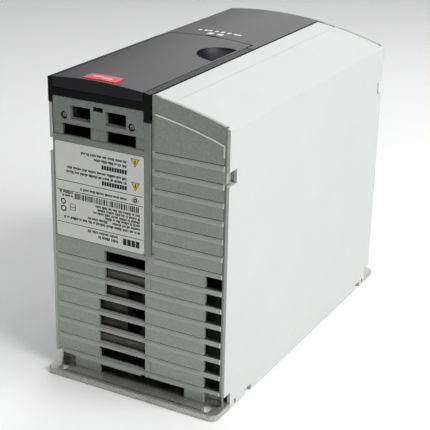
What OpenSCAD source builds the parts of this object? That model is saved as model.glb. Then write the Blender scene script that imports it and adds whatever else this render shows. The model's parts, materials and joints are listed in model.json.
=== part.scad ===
// Compact frequency converter of the book style, lying on its back plate.
// +X runs across the width, +Y from the fan end to the terminal end, +Z out of the front.
// The origin is the centre of the back plate's underside. All sizes are in millimetres.

/* [Back plate] */
// Width of the drive and of its back plate
body_w = 130; // [130:1:136]
// Length of the back plate
plate_len = 268; // [266:1:274]
// Thickness of the back plate
plate_t = 4.3; // [4:0.1:5]
// Sideways distance between the mounting holes
hole_pitch_x = 110; // [108:1:112]
// Lengthwise distance between the mounting holes
hole_pitch_y = 257; // [255:1:259]
// Width of the mounting slots
slot_w = 5.5; // [4.5:0.5:6.5]
// Diameter of the keyholes that pass a screw head
keyhole_d = 11; // [10:0.5:12]
// Distance from a keyhole's centre to the end of its slot
keyhole_run = 8; // [7:0.5:9]

/* [Housing] */
// Length of the housing between its end faces
body_len = 245.6; // [245:0.2:250]
// Highest point of the arched front
crest_z = 206.7; // [205:0.1:210]
// Radius of the arched front
arch_r = 292; // [280:2:320]
// Thickness of the housing walls
wall = 2.2; // [1.8:0.1:2.4]
// Width of the black front cover
cover_w = 75.3; // [75:0.1:76]
// Gap round the covers that lift off
seam = 0.35; // [0.3:0.05:0.5]
// Gap between two mouldings that stay put
panel_seam = 0.12; // [0.1:0.02:0.3]

/* [Ribs and vents] */
// Height of the lowest rib line
rib_first_z = 15.8; // [15:0.1:17]
// Spacing of the rib lines
rib_pitch = 11.75; // [11.5:0.05:11.9]
// Depth of a rib line
rib_depth = 0.9; // [0.4:0.1:1.2]
// Height of the slope under a rib line
rib_slope = 4.3; // [3:0.1:6]
// Height of a vent slot
vent_h = 8.1; // [7:0.1:8.5]

/* [Fan] */
// Side of the square fan frame
fan_size = 60; // [58:1:60]
// Depth of the fan frame
fan_depth = 25; // [25:1:26]
// Number of fan blades
fan_blades = 7; // [5:1:9]

/* [Heatsink] */
// Number of cooling fins
fin_count = 14; // [10:1:16]
// Thickness of a fin
fin_t = 1.6; // [1.2:0.1:2]

/* [Hidden] */

// Housing envelope
side_x = body_w / 2;
near_y = -body_len / 2;
far_y = body_len / 2;
inner_x = side_x - wall;
cover_x0 = -side_x;
cover_x1 = cover_x0 + cover_w;
light_x0 = cover_x1 + 0.7;
gland_mid_x = -28;
crest_x = -30;
panel_t = 2.8;
panel_back = near_y + panel_t;
panel_edge_x = inner_x - 0.2;
// Sideways edge of the fan cover
fan_cover_x1 = 6.1;
// Height of the joint between the fan cover and the label panel
fan_cover_z1 = 97.9;
// Sideways ends of the vent slots
vent_left_top_x = -24.8;
vent_left_x = -29.8;
small_vent_x0 = 49.6;
small_vent_x1 = 61.3;
// Raised field of the ribbed end panels
field_x0 = 13;
field_x1 = 61.2;
field_drop = 11;
field_step = 0.6;
// Lower edges of the housing
skirt_z = 12.6;
foot_z = plate_t;
wall_z = 0.6;
// Front cover joints
leg_z = 188.5;
fascia_z = 193.1;
skirt_line_z = 198.6;
strip_x1 = 5.4;
strip_x0 = -61.8;
joint_y_mid = 20.6;
joint_y_side = 10.7;
joint_gap = 1.1;
bay_y0 = -107;
skin_t = 2.2;
// Cassette that carries the control electronics
cassette_z = 158;
cassette_top = 182;
// Power stack
deck_z = 62;
deck_t = 8;
board_z = 84;
board_t = 1.6;
sink_x0 = -58;
sink_x1 = 14;
sink_y0 = -88;
sink_y1 = 112;
// Fan position and running gaps
fan_x = -26;
fan_z = 54;
fan_y0 = -116;
hub_r = 15;
blade_r = 27.4;
duct_r = 28.4;
shaft_r = 1.5;
bearing_gap = 0.05;
// Pluggable terminals
plug_y0 = 96.4;
power_plug_len = 22.6;
power_plug_z0 = 88;
power_plug_h = 22;
pole_w = 10;
relay_plug_z0 = 117;
relay_plug_h = 14;
relay_plug_len = 19;
relay_pole_w = 6;
control_pole_w = 3.5;
control_plug_z0 = 166;
control_plug_h = 13;
control_plug_len = 19;

function arch_z(x) = crest_z - arch_r + sqrt(arch_r * arch_r - (x - crest_x) * (x - crest_x));
function rib_z(k) = rib_first_z + rib_pitch * k;

// ---- helpers ----

// A box between two corners
module block(x, y, z) translate([x[0], y[0], z[0]]) cube([x[1] - x[0], y[1] - y[0], z[1] - z[0]]);

// A flat outline in X and Z, extruded along Y
module along_y(y0, y1) translate([0, y1, 0]) rotate([90, 0, 0]) linear_extrude(y1 - y0) children();

// A flat outline in Y and Z, extruded along X
module along_x(x0, x1) translate([x0, 0, 0]) rotate([90, 0, 90]) linear_extrude(x1 - x0) children();

// A rectangle in a flat outline
module span(a, b) translate([a[0], b[0]]) square([a[1] - a[0], b[1] - b[0]]);

// Everything below the arched front, lowered by drop
module under_arch(drop = 0) translate([crest_x, crest_z - arch_r]) circle(arch_r - drop, $fn = 360);

// A curved strip of the arched front
module arch_strip(x0, x1, t, drop = 0) intersection() {
    difference() {
        under_arch(drop);
        under_arch(drop + t);
    }
    span([x0, x1], [150, crest_z + 1]);
}

// A round bar or hole along Y
module bar_y(x, y0, y1, z, r, fn = 48) translate([x, y1, z]) rotate([90, 0, 0])
    cylinder(r = r, h = y1 - y0, $fn = fn);

// A round bar or hole along Z
module bar_z(x, y, z0, z1, r, fn = 48) translate([x, y, z0]) cylinder(r = r, h = z1 - z0, $fn = fn);

module rounded_rect(w, l, r) difference() {
    square([w, l], center = true);
    for (sx = [-1, 1], sy = [-1, 1])
        translate([sx * (w / 2 - r), sy * (l / 2 - r)]) difference() {
            translate([sx * (r + 1) / 2, sy * (r + 1) / 2]) square(r + 1, center = true);
            circle(r, $fn = 48);
        }
}

// The wedge that a rib line takes out of an end face
module rib_line(x0, x1, z) along_x(x0, x1)
    polygon([[near_y - 1, z], [near_y + rib_depth, z], [near_y, z - rib_slope], [near_y - 1, z - rib_slope]]);

// A vent slot through an end face, with its sill on a rib line
module vent(x0, x1, z) block([x0, x1], [near_y - 1, panel_back + 1], [z, z + vent_h]);

// A pan-head screw along Y, its head at y and its shank running to +Y
module screw_y(x, y, z, head_r, head_h, shank_r, shank_len) difference() {
    union() {
        bar_y(x, y, y + head_h, z, head_r, 32);
        bar_y(x, y + head_h, y + head_h + shank_len, z, shank_r, 24);
    }
    for (turn = [0, 90])
        translate([x, y + head_h * 0.25, z]) rotate([0, turn, 0])
            cube([head_r * 1.1, head_h * 0.6, head_r * 0.28], center = true);
}

// A pan-head screw along Z, its head's underside at z; a shank_len of 0 leaves the shank out
module screw_z(x, y, z, head_r, head_h, shank_r, shank_len) difference() {
    union() {
        bar_z(x, y, z, z + head_h, head_r, 32);
        if (shank_len > 0)
            bar_z(x, y, z - shank_len, z, shank_r, 24);
    }
    for (turn = [0, 90])
        translate([x, y, z + head_h * 0.8]) rotate([0, 0, turn])
            cube([head_r * 1.1, head_r * 0.28, head_h * 0.6], center = true);
}

// ---- back plate and heatsink ----

keyhole_y = -hole_pitch_y / 2 + keyhole_run;
neck_y0 = -114.5;
neck_y1 = 114.5;

module plate_outline() difference() {
    rounded_rect(body_w, plate_len, 4.5);
    for (sx = [-1, 1])
        translate([sx * side_x - (sx > 0 ? wall + 0.3 : 0), neck_y0])
            square([wall + 0.3, neck_y1 - neck_y0]);
}

// A half-round wall that keeps the screw head's pocket clear of the housing
module head_pocket(sx) intersection() {
    difference() {
        bar_z(sx * hole_pitch_x / 2, keyhole_y, plate_t, plate_t + 7.5, keyhole_d / 2 + 2);
        bar_z(sx * hole_pitch_x / 2, keyhole_y, 0, 20, keyhole_d / 2 + 0.8);
    }
    block([-side_x, side_x], [near_y + 3.2, keyhole_y + 20], [0, 20]);
}

module back_plate() color([0.72, 0.71, 0.68]) {
    difference() {
        linear_extrude(plate_t) plate_outline();
        for (sx = [-1, 1]) {
            x = sx * hole_pitch_x / 2;
            bar_z(x, keyhole_y, -1, 20, keyhole_d / 2);
            bar_z(x, -hole_pitch_y / 2, -1, 20, slot_w / 2);
            block([x - slot_w / 2, x + slot_w / 2], [-hole_pitch_y / 2, keyhole_y], [-1, 20]);
            bar_z(x, hole_pitch_y / 2, -1, 20, slot_w / 2);
            block([x - slot_w / 2, x + slot_w / 2], [hole_pitch_y / 2, plate_len], [-1, 20]);
        }
        for (x = [-30, 30])
            bar_z(x, hole_pitch_y / 2 - 0.5, -1, 20, 1.65);
    }
    for (sx = [-1, 1])
        head_pocket(sx);
}

module heatsink() color([0.62, 0.63, 0.64]) {
    pitch = (sink_x1 - sink_x0 - fin_t) / (fin_count - 1);
    block([sink_x0, sink_x1], [sink_y0, sink_y1], [deck_z, deck_z + deck_t]);
    for (i = [0 : fin_count - 1])
        block([sink_x0 + i * pitch, sink_x0 + i * pitch + fin_t], [sink_y0, sink_y1], [plate_t, deck_z]);
}

// ---- light grey housing ----

// Cuts along the foot of a side wall: its two ends, two notches and two small slots
module wall_foot_cuts(x0, x1) {
    for (y = [[near_y - 1, neck_y0 + 0.1], [neck_y1 - 0.1, far_y + 1]])
        block([x0, x1], y, [-1, skirt_z]);
    for (y = [-93.5, 95.8])
        block([x0, x1], [y, y + 9], [-1, 4.6]);
    for (y = [-108.6, 108.4])
        block([x0, x1], [y, y + 2.8], [1.5, 4.7]);
}

// Open window in a side wall's end, where an end panel's hook shows
module hook_windows(x0, x1)
    for (y = [[near_y - 1, near_y + 9.2], [far_y - 9.2, far_y + 1]])
        block([x0, x1], y, [155.4, 164.6]);

module side_cover() color([0.90, 0.90, 0.89]) difference() {
    union() {
        along_y(near_y, far_y) intersection() {
            under_arch();
            span([inner_x, side_x], [wall_z, crest_z]);
        }
        along_y(panel_back + 0.2, -panel_back - 0.2) {
            arch_strip(light_x0, side_x, skin_t);
            intersection() {
                under_arch(1);
                span([light_x0, light_x0 + 1.8], [191, crest_z]);
            }
        }
    }
    along_y(near_y - 1, far_y + 1)
        arch_strip(light_x0 - 2, 25.5, 1, -0.7);
    wall_foot_cuts(inner_x - 1, side_x + 1);
    hook_windows(inner_x - 1, side_x + 1);
}

module side_wall() color([0.90, 0.90, 0.89]) difference() {
    union() {
        block([-side_x, -inner_x], [near_y, far_y], [wall_z, leg_z - seam]);
        block([-inner_x, -inner_x + 4.6], [-100, 100], [cassette_z - 3, cassette_z]);
    }
    wall_foot_cuts(-side_x - 1, -inner_x + 1);
    hook_windows(-side_x - 1, -inner_x + 1);
}

// Return flange of an end panel, with the recess that its snap hook leaves
module hook_flange(sx) scale([sx, 1, 1]) difference() {
    block([panel_edge_x - 2, panel_edge_x], [near_y + 0.6, near_y + 12], [150, 167.5]);
    block([panel_edge_x - 1.4, panel_edge_x + 1], [near_y + 3.4, near_y + 9], [155.8, 164.2]);
}

// Feet that stand on the back plate at the fan end
left_foot = [-49, -29.9];
right_foot = [35.8, 49.8];

module panel_outline_right() difference() {
    union() {
        intersection() {
            under_arch();
            span([light_x0, panel_edge_x], [skirt_z, crest_z]);
        }
        span([fan_cover_x1 + panel_seam, light_x0 + 1], [11.4, fan_cover_z1]);
        span([fan_cover_x1 + panel_seam, right_foot[0]], [11.4, 20]);
        span(right_foot, [foot_z, 20]);
    }
    span([light_x0 - 10, light_x0 - 0.4], [fan_cover_z1, crest_z + 1]);
}

// Raised field of a ribbed end panel, under an arched ledge
module raised_field() intersection() {
    union() {
        intersection() {
            under_arch(field_drop);
            span([field_x0, field_x1], [100, crest_z]);
        }
        span([fan_cover_x1 + panel_seam, field_x1], [0, 100]);
        span([0, panel_edge_x + 1], [0, skirt_z]);
    }
    panel_outline_right();
}

// Openings in the fan cover's edge for its two snap tabs
snap_tabs = [[16.6, 24], [74.5, 82.3]];

module ribbed_end_panel() color([0.80, 0.81, 0.79]) {
    difference() {
        union() {
            along_y(near_y + field_step, panel_back) panel_outline_right();
            along_y(near_y, panel_back) raised_field();
        }
        for (k = [0 : 13])
            rib_line(k > 6 ? field_x0 : fan_cover_x1, field_x1 + 0.2, rib_z(k));
        for (k = [0 : 6])
            vent(small_vent_x0, small_vent_x1, rib_z(k) - 0.1);
        for (t = snap_tabs)
            block([fan_cover_x1, fan_cover_x1 + 4.3 + panel_seam], [near_y - 1, panel_back + 1],
                [t[0] - panel_seam, t[1] + panel_seam]);
        // Rebate over the strip that joins the fan cover's slats
        block([fan_cover_x1, fan_cover_x1 + 2.2], [panel_back - 1.2, panel_back + 1], [13.6, fan_cover_z1 + 1]);
    }
    hook_flange(1);
    // Ties that hold the panel to the skin above it
    for (x = [22, 48])
        block([x, x + 6], [panel_back, panel_back + 6], [arch_z(x + 6) - 9, arch_z(x + 6) - skin_t - 0.4]);
}

label_panel_z0 = fan_cover_z1 + panel_seam;

module label_panel() color([0.80, 0.81, 0.79]) {
    difference() {
        union() {
            along_y(near_y, panel_back)
                polygon([[-panel_edge_x, label_panel_z0], [light_x0 - 0.52, label_panel_z0],
                    [light_x0 - 0.52, 185.8], [strip_x1 + 0.1, 185.8], [strip_x1 + 0.1, 167.8],
                    [-panel_edge_x, 167.8]]);
            // Bosses behind the gland panel, on arms from the two edges
            block([-panel_edge_x, screw_xs[0] + 4.3], boss_y, boss_z);
            block([-panel_edge_x, -panel_edge_x + 1.6], boss_y, [160, boss_z[0] + 1]);
            block([screw_xs[1] - 3.3, strip_x1 + 3], boss_y, boss_z);
            block([strip_x1 + 0.6, strip_x1 + 3], [panel_back - 1, boss_y[1]], boss_z);
        }
        for (x = screw_xs)
            bar_y(x, near_y - 1, panel_back + 8, screw_z_pos, 1.55, 24);
        // Shallow recess that takes the rating label
        block([label_x[0] - 0.4, label_x[1] + 0.4], [near_y - 1, near_y + 0.25],
            [label_z[0] - 0.1, label_z[1] + 0.4]);
    }
    hook_flange(-1);
}

label_x = [-61.3, 5.5];
label_z = [98.6, 163.5];

module rating_label() color([0.93, 0.93, 0.90]) translate([0, near_y + 0.25, 0]) rotate([90, 0, 0])
    linear_extrude(0.2)
        translate([(label_x[0] + label_x[1]) / 2, (label_z[0] + label_z[1]) / 2])
            rounded_rect(label_x[1] - label_x[0], label_z[1] - label_z[0], 1.6);

module fan_cover() color([0.80, 0.81, 0.79]) {
    difference() {
        along_y(near_y, panel_back) union() {
            polygon([[-panel_edge_x, 14.5], [-58, 12.1], [fan_cover_x1, 12.1],
                [fan_cover_x1, fan_cover_z1], [-panel_edge_x, fan_cover_z1]]);
            span(left_foot, [foot_z, 20]);
            span([left_foot[1] - 0.1, 2.8], [10.9, 20]);
            for (t = snap_tabs)
                span([fan_cover_x1 - 1, fan_cover_x1 + 4.3], t);
        }
        for (k = [0 : 6]) {
            left = k > 3 ? vent_left_top_x : vent_left_x;
            rib_line(-61.4, fan_cover_x1 - 0.4, rib_z(k));
            vent(left, fan_cover_x1, rib_z(k) + 0.4);
        }
    }
    // Strip behind the slats' right ends
    block([fan_cover_x1 - 0.3, fan_cover_x1 + 2], [panel_back - 1, panel_back], [14, fan_cover_z1 - 0.5]);
    // Posts that hold the air guide and the fan
    for (z = [30, 78])
        bar_y(-51, panel_back - 0.5, guide_y[0], z, 2.6, 24);
    for (z = [38, 72])
        bar_y(fan_cover_x1 + 0.8, panel_back - 0.5, guide_y[0], z, 1.1, 24);
}

// ---- gland panel at the fan end ----

screw_xs = [-53.7, -3.6];
screw_z_pos = 181;
boss_y = [panel_back + 0.05, panel_back + 6];
boss_z = [177.2, 183.8];
gland_x = [strip_x0 + 0.1, strip_x1 - 0.1];

module gland_panel() color([0.78, 0.79, 0.77]) difference() {
    union() {
        block(gland_x, [near_y - 0.2, panel_back], [175.9, fascia_z - 0.1]);
        block(gland_x, [near_y + 0.5, panel_back], [167.9, 176.5]);
    }
    for (s = [-1, 1]) {
        window_x = gland_mid_x + s * 13.1;
        notch_x = gland_mid_x + s * 16.6;
        block([window_x - 7.65, window_x + 7.65], [near_y - 1, near_y + 1.1], [179.1, 188.1]);
        block([window_x - 7.1, window_x + 7.1], [near_y, panel_back + 1], [180.1, 187.7]);
        block([notch_x - 10.8, notch_x + 10.8], [near_y - 1, panel_back + 1], [167, 175.6]);
    }
    block([gland_mid_x - 3.8, gland_mid_x + 3.8], [near_y - 1, panel_back + 1], [186.9, 189.8]);
    for (x = screw_xs) {
        bar_y(x, near_y - 1, panel_back + 1, screw_z_pos, 1.8, 24);
        bar_y(x, near_y - 1, near_y + 2.1, screw_z_pos, 2.6, 32);
    }
}

module panel_screws() color([0.55, 0.55, 0.55]) for (x = screw_xs)
    screw_y(x, near_y + 0.9, screw_z_pos, 2.25, 1.2, 1.45, 6.3);

// ---- black front ----

module front_frame() color([0.10, 0.10, 0.11]) {
    difference() {
        union() {
            // Fascia under the keypad cover, with a leg at each side
            along_y(near_y - 0.4, panel_back - 0.2) intersection() {
                under_arch();
                union() {
                    span([cover_x0, cover_x1], [fascia_z, crest_z]);
                    span([cover_x0, strip_x0 - 0.2], [leg_z, fascia_z + 1]);
                    span([strip_x1, cover_x1], [186, fascia_z + 1]);
                }
            }
            // Side strips along the keypad cover
            along_y(panel_back - 0.2, joint_y_side) {
                intersection() {
                    under_arch();
                    union() {
                        span([cover_x0, strip_x0 - 0.2], [leg_z, crest_z]);
                        span([strip_x1 + 0.2, cover_x1], [189, crest_z]);
                    }
                }
            }
            // Rails under the terminal cover
            along_y(joint_y_mid + 1, far_y - 4) {
                span([cover_x0 + 2.6, strip_x0 + 1.6], [leg_z, 197]);
                span([strip_x1 + 0.2, cover_x1 - 1.8], [186, 198]);
            }
            block([strip_x1 + 0.2, cover_x1 - 1.8], [joint_y_side - 1, joint_y_mid + 2], [186, 198]);
            block([cover_x0 + 2.6, strip_x0 + 0.6], [joint_y_side - 1, joint_y_mid + 2], [184, 190]);
            // Web down to the cassette's ledge
            block([strip_x1 + 0.2, strip_x1 + 2.2], [boss_y[1] + 0.4, far_y - 5], [cassette_z - 3, 190]);
            block([1.6, strip_x1 + 1], [-100, 100], [cassette_z - 3, cassette_z]);
            // Floor of the keypad bay
            block([cover_x0 + 2.4, strip_x1 + 1], [bay_y0, joint_y_mid], [184, 186]);
            block([cover_x0 + 2.4, strip_x0 + 0.6], [panel_back + 0.2, joint_y_mid], [184, 190]);
        }
        // Rebate for the keypad cover and its skirt
        along_y(near_y - 1, joint_y_mid) intersection() {
            under_arch(-1);
            span([strip_x0, strip_x1], [skirt_line_z - 0.3, crest_z + 2]);
        }
        // Window for the keypad connector
        block([-46, -14], [-52, -28], [183, 187]);
    }
}

module keypad_cover() color([0.36, 0.36, 0.37]) difference() {
    union() {
        along_y(near_y - 0.4, joint_y_mid - joint_gap)
            arch_strip(strip_x0 + seam, strip_x1 - seam, skin_t);
        // Skirt over the near edge
        along_y(near_y - 0.4, near_y + 1.6) intersection() {
            under_arch();
            span([strip_x0 + seam, strip_x1 - seam], [skirt_line_z, crest_z]);
        }
        // Side flanges that grip the bay
        along_y(panel_back + 0.6, joint_y_mid - joint_gap) intersection() {
            under_arch(1);
            union() {
                span([strip_x0 + seam + 1.2, strip_x0 + seam + 2.8], [196, crest_z]);
                span([strip_x1 - seam - 2.8, strip_x1 - seam - 1.2], [190, crest_z]);
            }
        }
        finger_dish_floor();
    }
    finger_dish_cut();
    badge_shape(-0.2, 0.4);
}

// Half-oval finger dish at the keypad cover's right edge, 18 mm in radius where it meets the arch
dish_y = -17;
dish_r = 20;
dish_x = strip_x1 - seam - 1.2;

module dish_oval(r) translate([dish_x + 0.2, dish_y, arch_z(dish_x) + 6])
    rotate([0, -10, 0]) scale([1, 1, 0.7]) sphere(r = r, $fn = 64);

module finger_dish_cut() intersection() {
    dish_oval(dish_r);
    block([dish_x - 30, dish_x], [dish_y - dish_r, dish_y + dish_r], [190, 220]);
}

module finger_dish_floor() intersection() {
    dish_oval(dish_r + 2);
    along_y(dish_y - dish_r - 2, dish_y + dish_r + 2) intersection() {
        under_arch(1);
        span([dish_x - 24, strip_x1 - seam - 1.2], [186, crest_z]);
    }
}

// Thin plate that follows the arch; its underside is drop + t below the arch
module badge_shape(drop, t) along_y(near_y + 2.6, near_y + 13.6) arch_strip(-41, -16.8, t, drop);

module badge() color([0.84, 0.12, 0.16]) badge_shape(-0.3, 0.5);

module terminal_cover() color([0.36, 0.36, 0.37]) difference() {
    union() {
        along_y(joint_y_side + joint_gap, far_y)
            arch_strip(cover_x0, cover_x1 - 0.1, skin_t);
        // Left and far skirts
        along_y(joint_y_side + joint_gap, far_y) intersection() {
            under_arch();
            span([cover_x0, cover_x0 + 2], [leg_z, crest_z]);
        }
        along_y(far_y - 2, far_y) intersection() {
            under_arch();
            span([cover_x0, cover_x1 - 0.1], [leg_z, crest_z]);
        }
        along_y(joint_y_mid + 3, far_y - 1) intersection() {
            under_arch(1);
            span([cover_x1 - 1.3, cover_x1 - 0.1], [196, crest_z]);
        }
    }
    // Tongue of the keypad cover reaches between the two ears
    block([strip_x0 - 0.4, strip_x1 + 0.4], [0, joint_y_mid], [190, 220]);
    // Pry notch for a screwdriver
    block([-31, -22], [joint_y_mid - 1, joint_y_mid + 1.4], [190, 220]);
}

// ---- terminal end ----

mains_x = [-58, -18];
brake_x = [-12, 12];
motor_x = [18, 58];
relay_x = [[-58, -40], [-36, -18]];
control_x = [[-58.5, -48], [-47, -19], [-18, -0.5]];
window_gap = 0.8;

module cable_window(x, z) block([x[0] - window_gap, x[1] + window_gap],
    [near_y - 1, panel_back + 1], [z[0] - window_gap, z[1] + window_gap]);

module terminal_end_panel() color([0.80, 0.81, 0.79]) mirror([0, 1, 0]) {
    difference() {
        along_y(near_y, panel_back) difference() {
            intersection() {
                under_arch();
                union() {
                    span([-panel_edge_x, panel_edge_x], [skirt_z, leg_z - seam]);
                    span([light_x0, panel_edge_x], [skirt_z, crest_z]);
                    span([-40, 40], [foot_z, 20]);
                }
            }
            span([cover_x0, light_x0], [leg_z - seam, crest_z + 1]);
        }
        for (k = [0 : 13])
            rib_line(-61.2, field_x1, rib_z(k));
        for (k = [0 : 3], c = [-38, -12])
            vent(c - 11, c + 11, rib_z(k));
        for (k = [0 : 4])
            vent(small_vent_x0, small_vent_x1, rib_z(k));
        for (x = [mains_x, brake_x, motor_x])
            cable_window(x, [power_plug_z0, power_plug_z0 + power_plug_h]);
        for (x = relay_x)
            cable_window(x, [relay_plug_z0, relay_plug_z0 + relay_plug_h]);
        cable_window([control_x[0][0], control_x[2][1]], [control_plug_z0, control_plug_z0 + control_plug_h]);
    }
    hook_flange(1);
    hook_flange(-1);
}

// ---- fan ----

guide_y = [fan_y0 - 2.2, fan_y0];

// Plate between the vents and the fan: a band over the hub, a window at each side of it
module air_guide() color([0.33, 0.30, 0.27]) difference() {
    union() {
        block([-58, 8.4], guide_y, [22.6, 86]);
        for (k = [1, 5])
            block([-31, 5.6], [guide_y[0] - 1.3, guide_y[0] + 0.1], [rib_z(k) - 1.2, rib_z(k) + 7.4]);
    }
    for (x = [[-54, -42], [-10, 4.8]])
        block(x, [guide_y[0] - 1, guide_y[1] + 1], [36.8, 69.2]);
}

module fan_frame() color([0.13, 0.13, 0.14]) {
    y1 = fan_y0 + fan_depth;
    difference() {
        block([fan_x - fan_size / 2, fan_x + fan_size / 2], [fan_y0, y1],
            [fan_z - fan_size / 2, fan_z + fan_size / 2]);
        bar_y(fan_x, fan_y0 - 1, y1 + 1, fan_z, duct_r, 96);
        for (sx = [-1, 1], sz = [-1, 1])
            bar_y(fan_x + sx * 25, fan_y0 - 1, y1 + 1, fan_z + sz * 25, 2.2, 24);
    }
    // Motor seat, its struts and the bearing tube
    difference() {
        union() {
            bar_y(fan_x, y1 - 3, y1 - 0.3, fan_z, 14, 64);
            for (turn = [40, 160, 280])
                translate([fan_x, y1 - 2.8, fan_z]) rotate([0, turn, 0])
                    translate([13, 0, -1.8]) cube([duct_r - 12, 2.2, 3.6]);
            bar_y(fan_x, fan_y0 + 8, y1 - 2, fan_z, 10.5, 48);
        }
        bar_y(fan_x, fan_y0, y1 - 1, fan_z, shaft_r + bearing_gap, 32);
    }
}

module fan_rotor() color([0.09, 0.09, 0.10]) {
    hub_y0 = fan_y0 + 2;
    hub_y1 = fan_y0 + fan_depth - 3.6;
    difference() {
        bar_y(fan_x, hub_y0, hub_y1, fan_z, hub_r, 64);
        bar_y(fan_x, hub_y0 + 2.2, hub_y1 + 1, fan_z, hub_r - 1.8, 64);
    }
    intersection() {
        for (i = [0 : fan_blades - 1])
            translate([fan_x, (hub_y0 + hub_y1) / 2, fan_z])
                rotate([0, i * 360 / fan_blades, 0]) rotate([38, 0, 0])
                    translate([hub_r - 1, -0.65, -12]) cube([20, 1.3, 24]);
        difference() {
            bar_y(fan_x, hub_y0, hub_y1, fan_z, blade_r, 96);
            bar_y(fan_x, hub_y0 - 1, hub_y1 + 1, fan_z, hub_r - 0.3, 64);
        }
    }
}

module fan_shaft() color([0.75, 0.75, 0.76])
    bar_y(fan_x, fan_y0 + 4.2, fan_y0 + fan_depth - 2, fan_z, shaft_r, 32);

// ---- power electronics ----

standoff_xy = [[-54, -80], [9, -80], [-54, 58], [9, 58]];
post_xy = [[57.5, -76], [57.5, 76]];
module_y = [-30, 56];
module_x = [-44, 0];

module power_module() color([0.16, 0.16, 0.17]) difference() {
    union() {
        block(module_x, module_y, [deck_z + deck_t, deck_z + deck_t + 11]);
        for (x = [module_x[0] + 4, module_x[1] - 5], i = [0 : 9])
            block([x, x + 1], [module_y[0] + 12 + i * 6.6, module_y[0] + 13 + i * 6.6],
                [deck_z + deck_t + 10.5, board_z]);
    }
    for (y = [module_y[0] + 5, module_y[1] - 5]) {
        bar_z(-22, y, deck_z, deck_z + deck_t + 20, 2.2, 32);
        bar_z(-22, y, deck_z + deck_t + 6, deck_z + deck_t + 20, 4.6, 32);
    }
}

module module_screws() color([0.65, 0.65, 0.66]) for (y = [module_y[0] + 5, module_y[1] - 5])
    screw_z(-22, y, deck_z + deck_t + 6, 3.8, 2.8, 2, 6);

module power_board() color([0.10, 0.32, 0.16]) difference() {
    block([-60, 61], [-86, 95.8], [board_z, board_z + board_t]);
    for (p = concat(standoff_xy, post_xy))
        bar_z(p[0], p[1], board_z - 1, board_z + 3, 1.6, 24);
}

module board_standoffs() color([0.78, 0.62, 0.30]) {
    for (p = standoff_xy)
        bar_z(p[0], p[1], deck_z + deck_t, board_z, 3, 24);
    for (p = post_xy)
        bar_z(p[0], p[1], plate_t, board_z, 3, 24);
    for (p = concat(standoff_xy, post_xy))
        screw_z(p[0], p[1], board_z + board_t, 2.8, 2, 1.5, board_t);
}

module dc_capacitors() color([0.12, 0.14, 0.20]) for (i = [0 : 3]) translate([27, -64 + i * 33, board_z + board_t])
    difference() {
        union() {
            cylinder(r = 15, h = 52, $fn = 64);
            translate([0, 0, 3]) cylinder(r = 15.3, h = 46, $fn = 64);
        }
        for (turn = [0, 60, 120])
            rotate([0, 0, turn]) translate([-9, -0.4, 51.6]) cube([18, 0.8, 1]);
    }

choke_y = [-104, -30];
choke_len = 62;

module choke_cores() color([0.30, 0.30, 0.32]) for (y = choke_y) difference() {
    block([20, 53], [y, y + choke_len], [plate_t, 74]);
    for (z = [[16, 34], [44, 62]])
        block([19, 54], [y + 12, y + choke_len - 12], z);
}

module choke_windings() color([0.66, 0.36, 0.18]) for (y = choke_y) difference() {
    block([18.2, 54.4], [y + 12.4, y + choke_len - 12.4], [16.4, 61.6]);
    block([19.6, 53.4], [y + 11, y + choke_len - 11], [33.7, 44.3]);
}

toroid_at = [-38, -58];

module filter_core() color([0.22, 0.22, 0.24]) translate([toroid_at[0], toroid_at[1], board_z + board_t + 1.6])
    difference() {
        cylinder(r = 17, h = 14, $fn = 64);
        translate([0, 0, -1]) cylinder(r = 9, h = 16, $fn = 64);
    }

// One turn of a winding around the ring core
module core_turn() difference() {
    block([7.4, 18.6], [-0.8, 0.8], [0, 17.2]);
    block([8.9, 17.1], [-1, 1], [1.5, 15.7]);
}

module filter_windings() color([0.72, 0.38, 0.16])
    translate([toroid_at[0], toroid_at[1], board_z + board_t])
        for (third = [0 : 2], i = [0 : 6])
            rotate([0, 0, third * 120 + i * 13]) core_turn();

module suppression_capacitors() color([0.80, 0.62, 0.18])
    for (y = [-64, -42, -20, 2])
        block([45, 59], [y, y + 18], [board_z + board_t, board_z + board_t + 24]);

module power_relays() color([0.14, 0.16, 0.18])
    for (y = [-30, -10, 10])
        block([-57, -29], [y, y + 14], [board_z + board_t, board_z + board_t + 20]);

module current_sensors() color([0.15, 0.15, 0.16]) for (x = [20, 33, 46]) difference() {
    block([x, x + 11], [62, 73], [board_z + board_t, board_z + board_t + 18]);
    bar_y(x + 5.5, 61, 74, board_z + board_t + 10, 3.4, 32);
}

// ---- power terminals ----

// A board header with one blade for each pole
module power_header(x) {
    poles = floor((x[1] - x[0]) / pole_w);
    block(x, [80, plug_y0 - 0.4], [board_z + board_t, power_plug_z0 + power_plug_h]);
    for (i = [0 : poles - 1]) {
        c = (x[0] + x[1]) / 2 + (i - (poles - 1) / 2) * pole_w;
        block([c - 0.5, c + 0.5], [plug_y0 - 1, plug_y0 + 6], [power_plug_z0 + 6, power_plug_z0 + 12]);
    }
}

module power_headers() color([0.17, 0.17, 0.18]) for (x = [mains_x, brake_x, motor_x])
    power_header(x);

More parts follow.
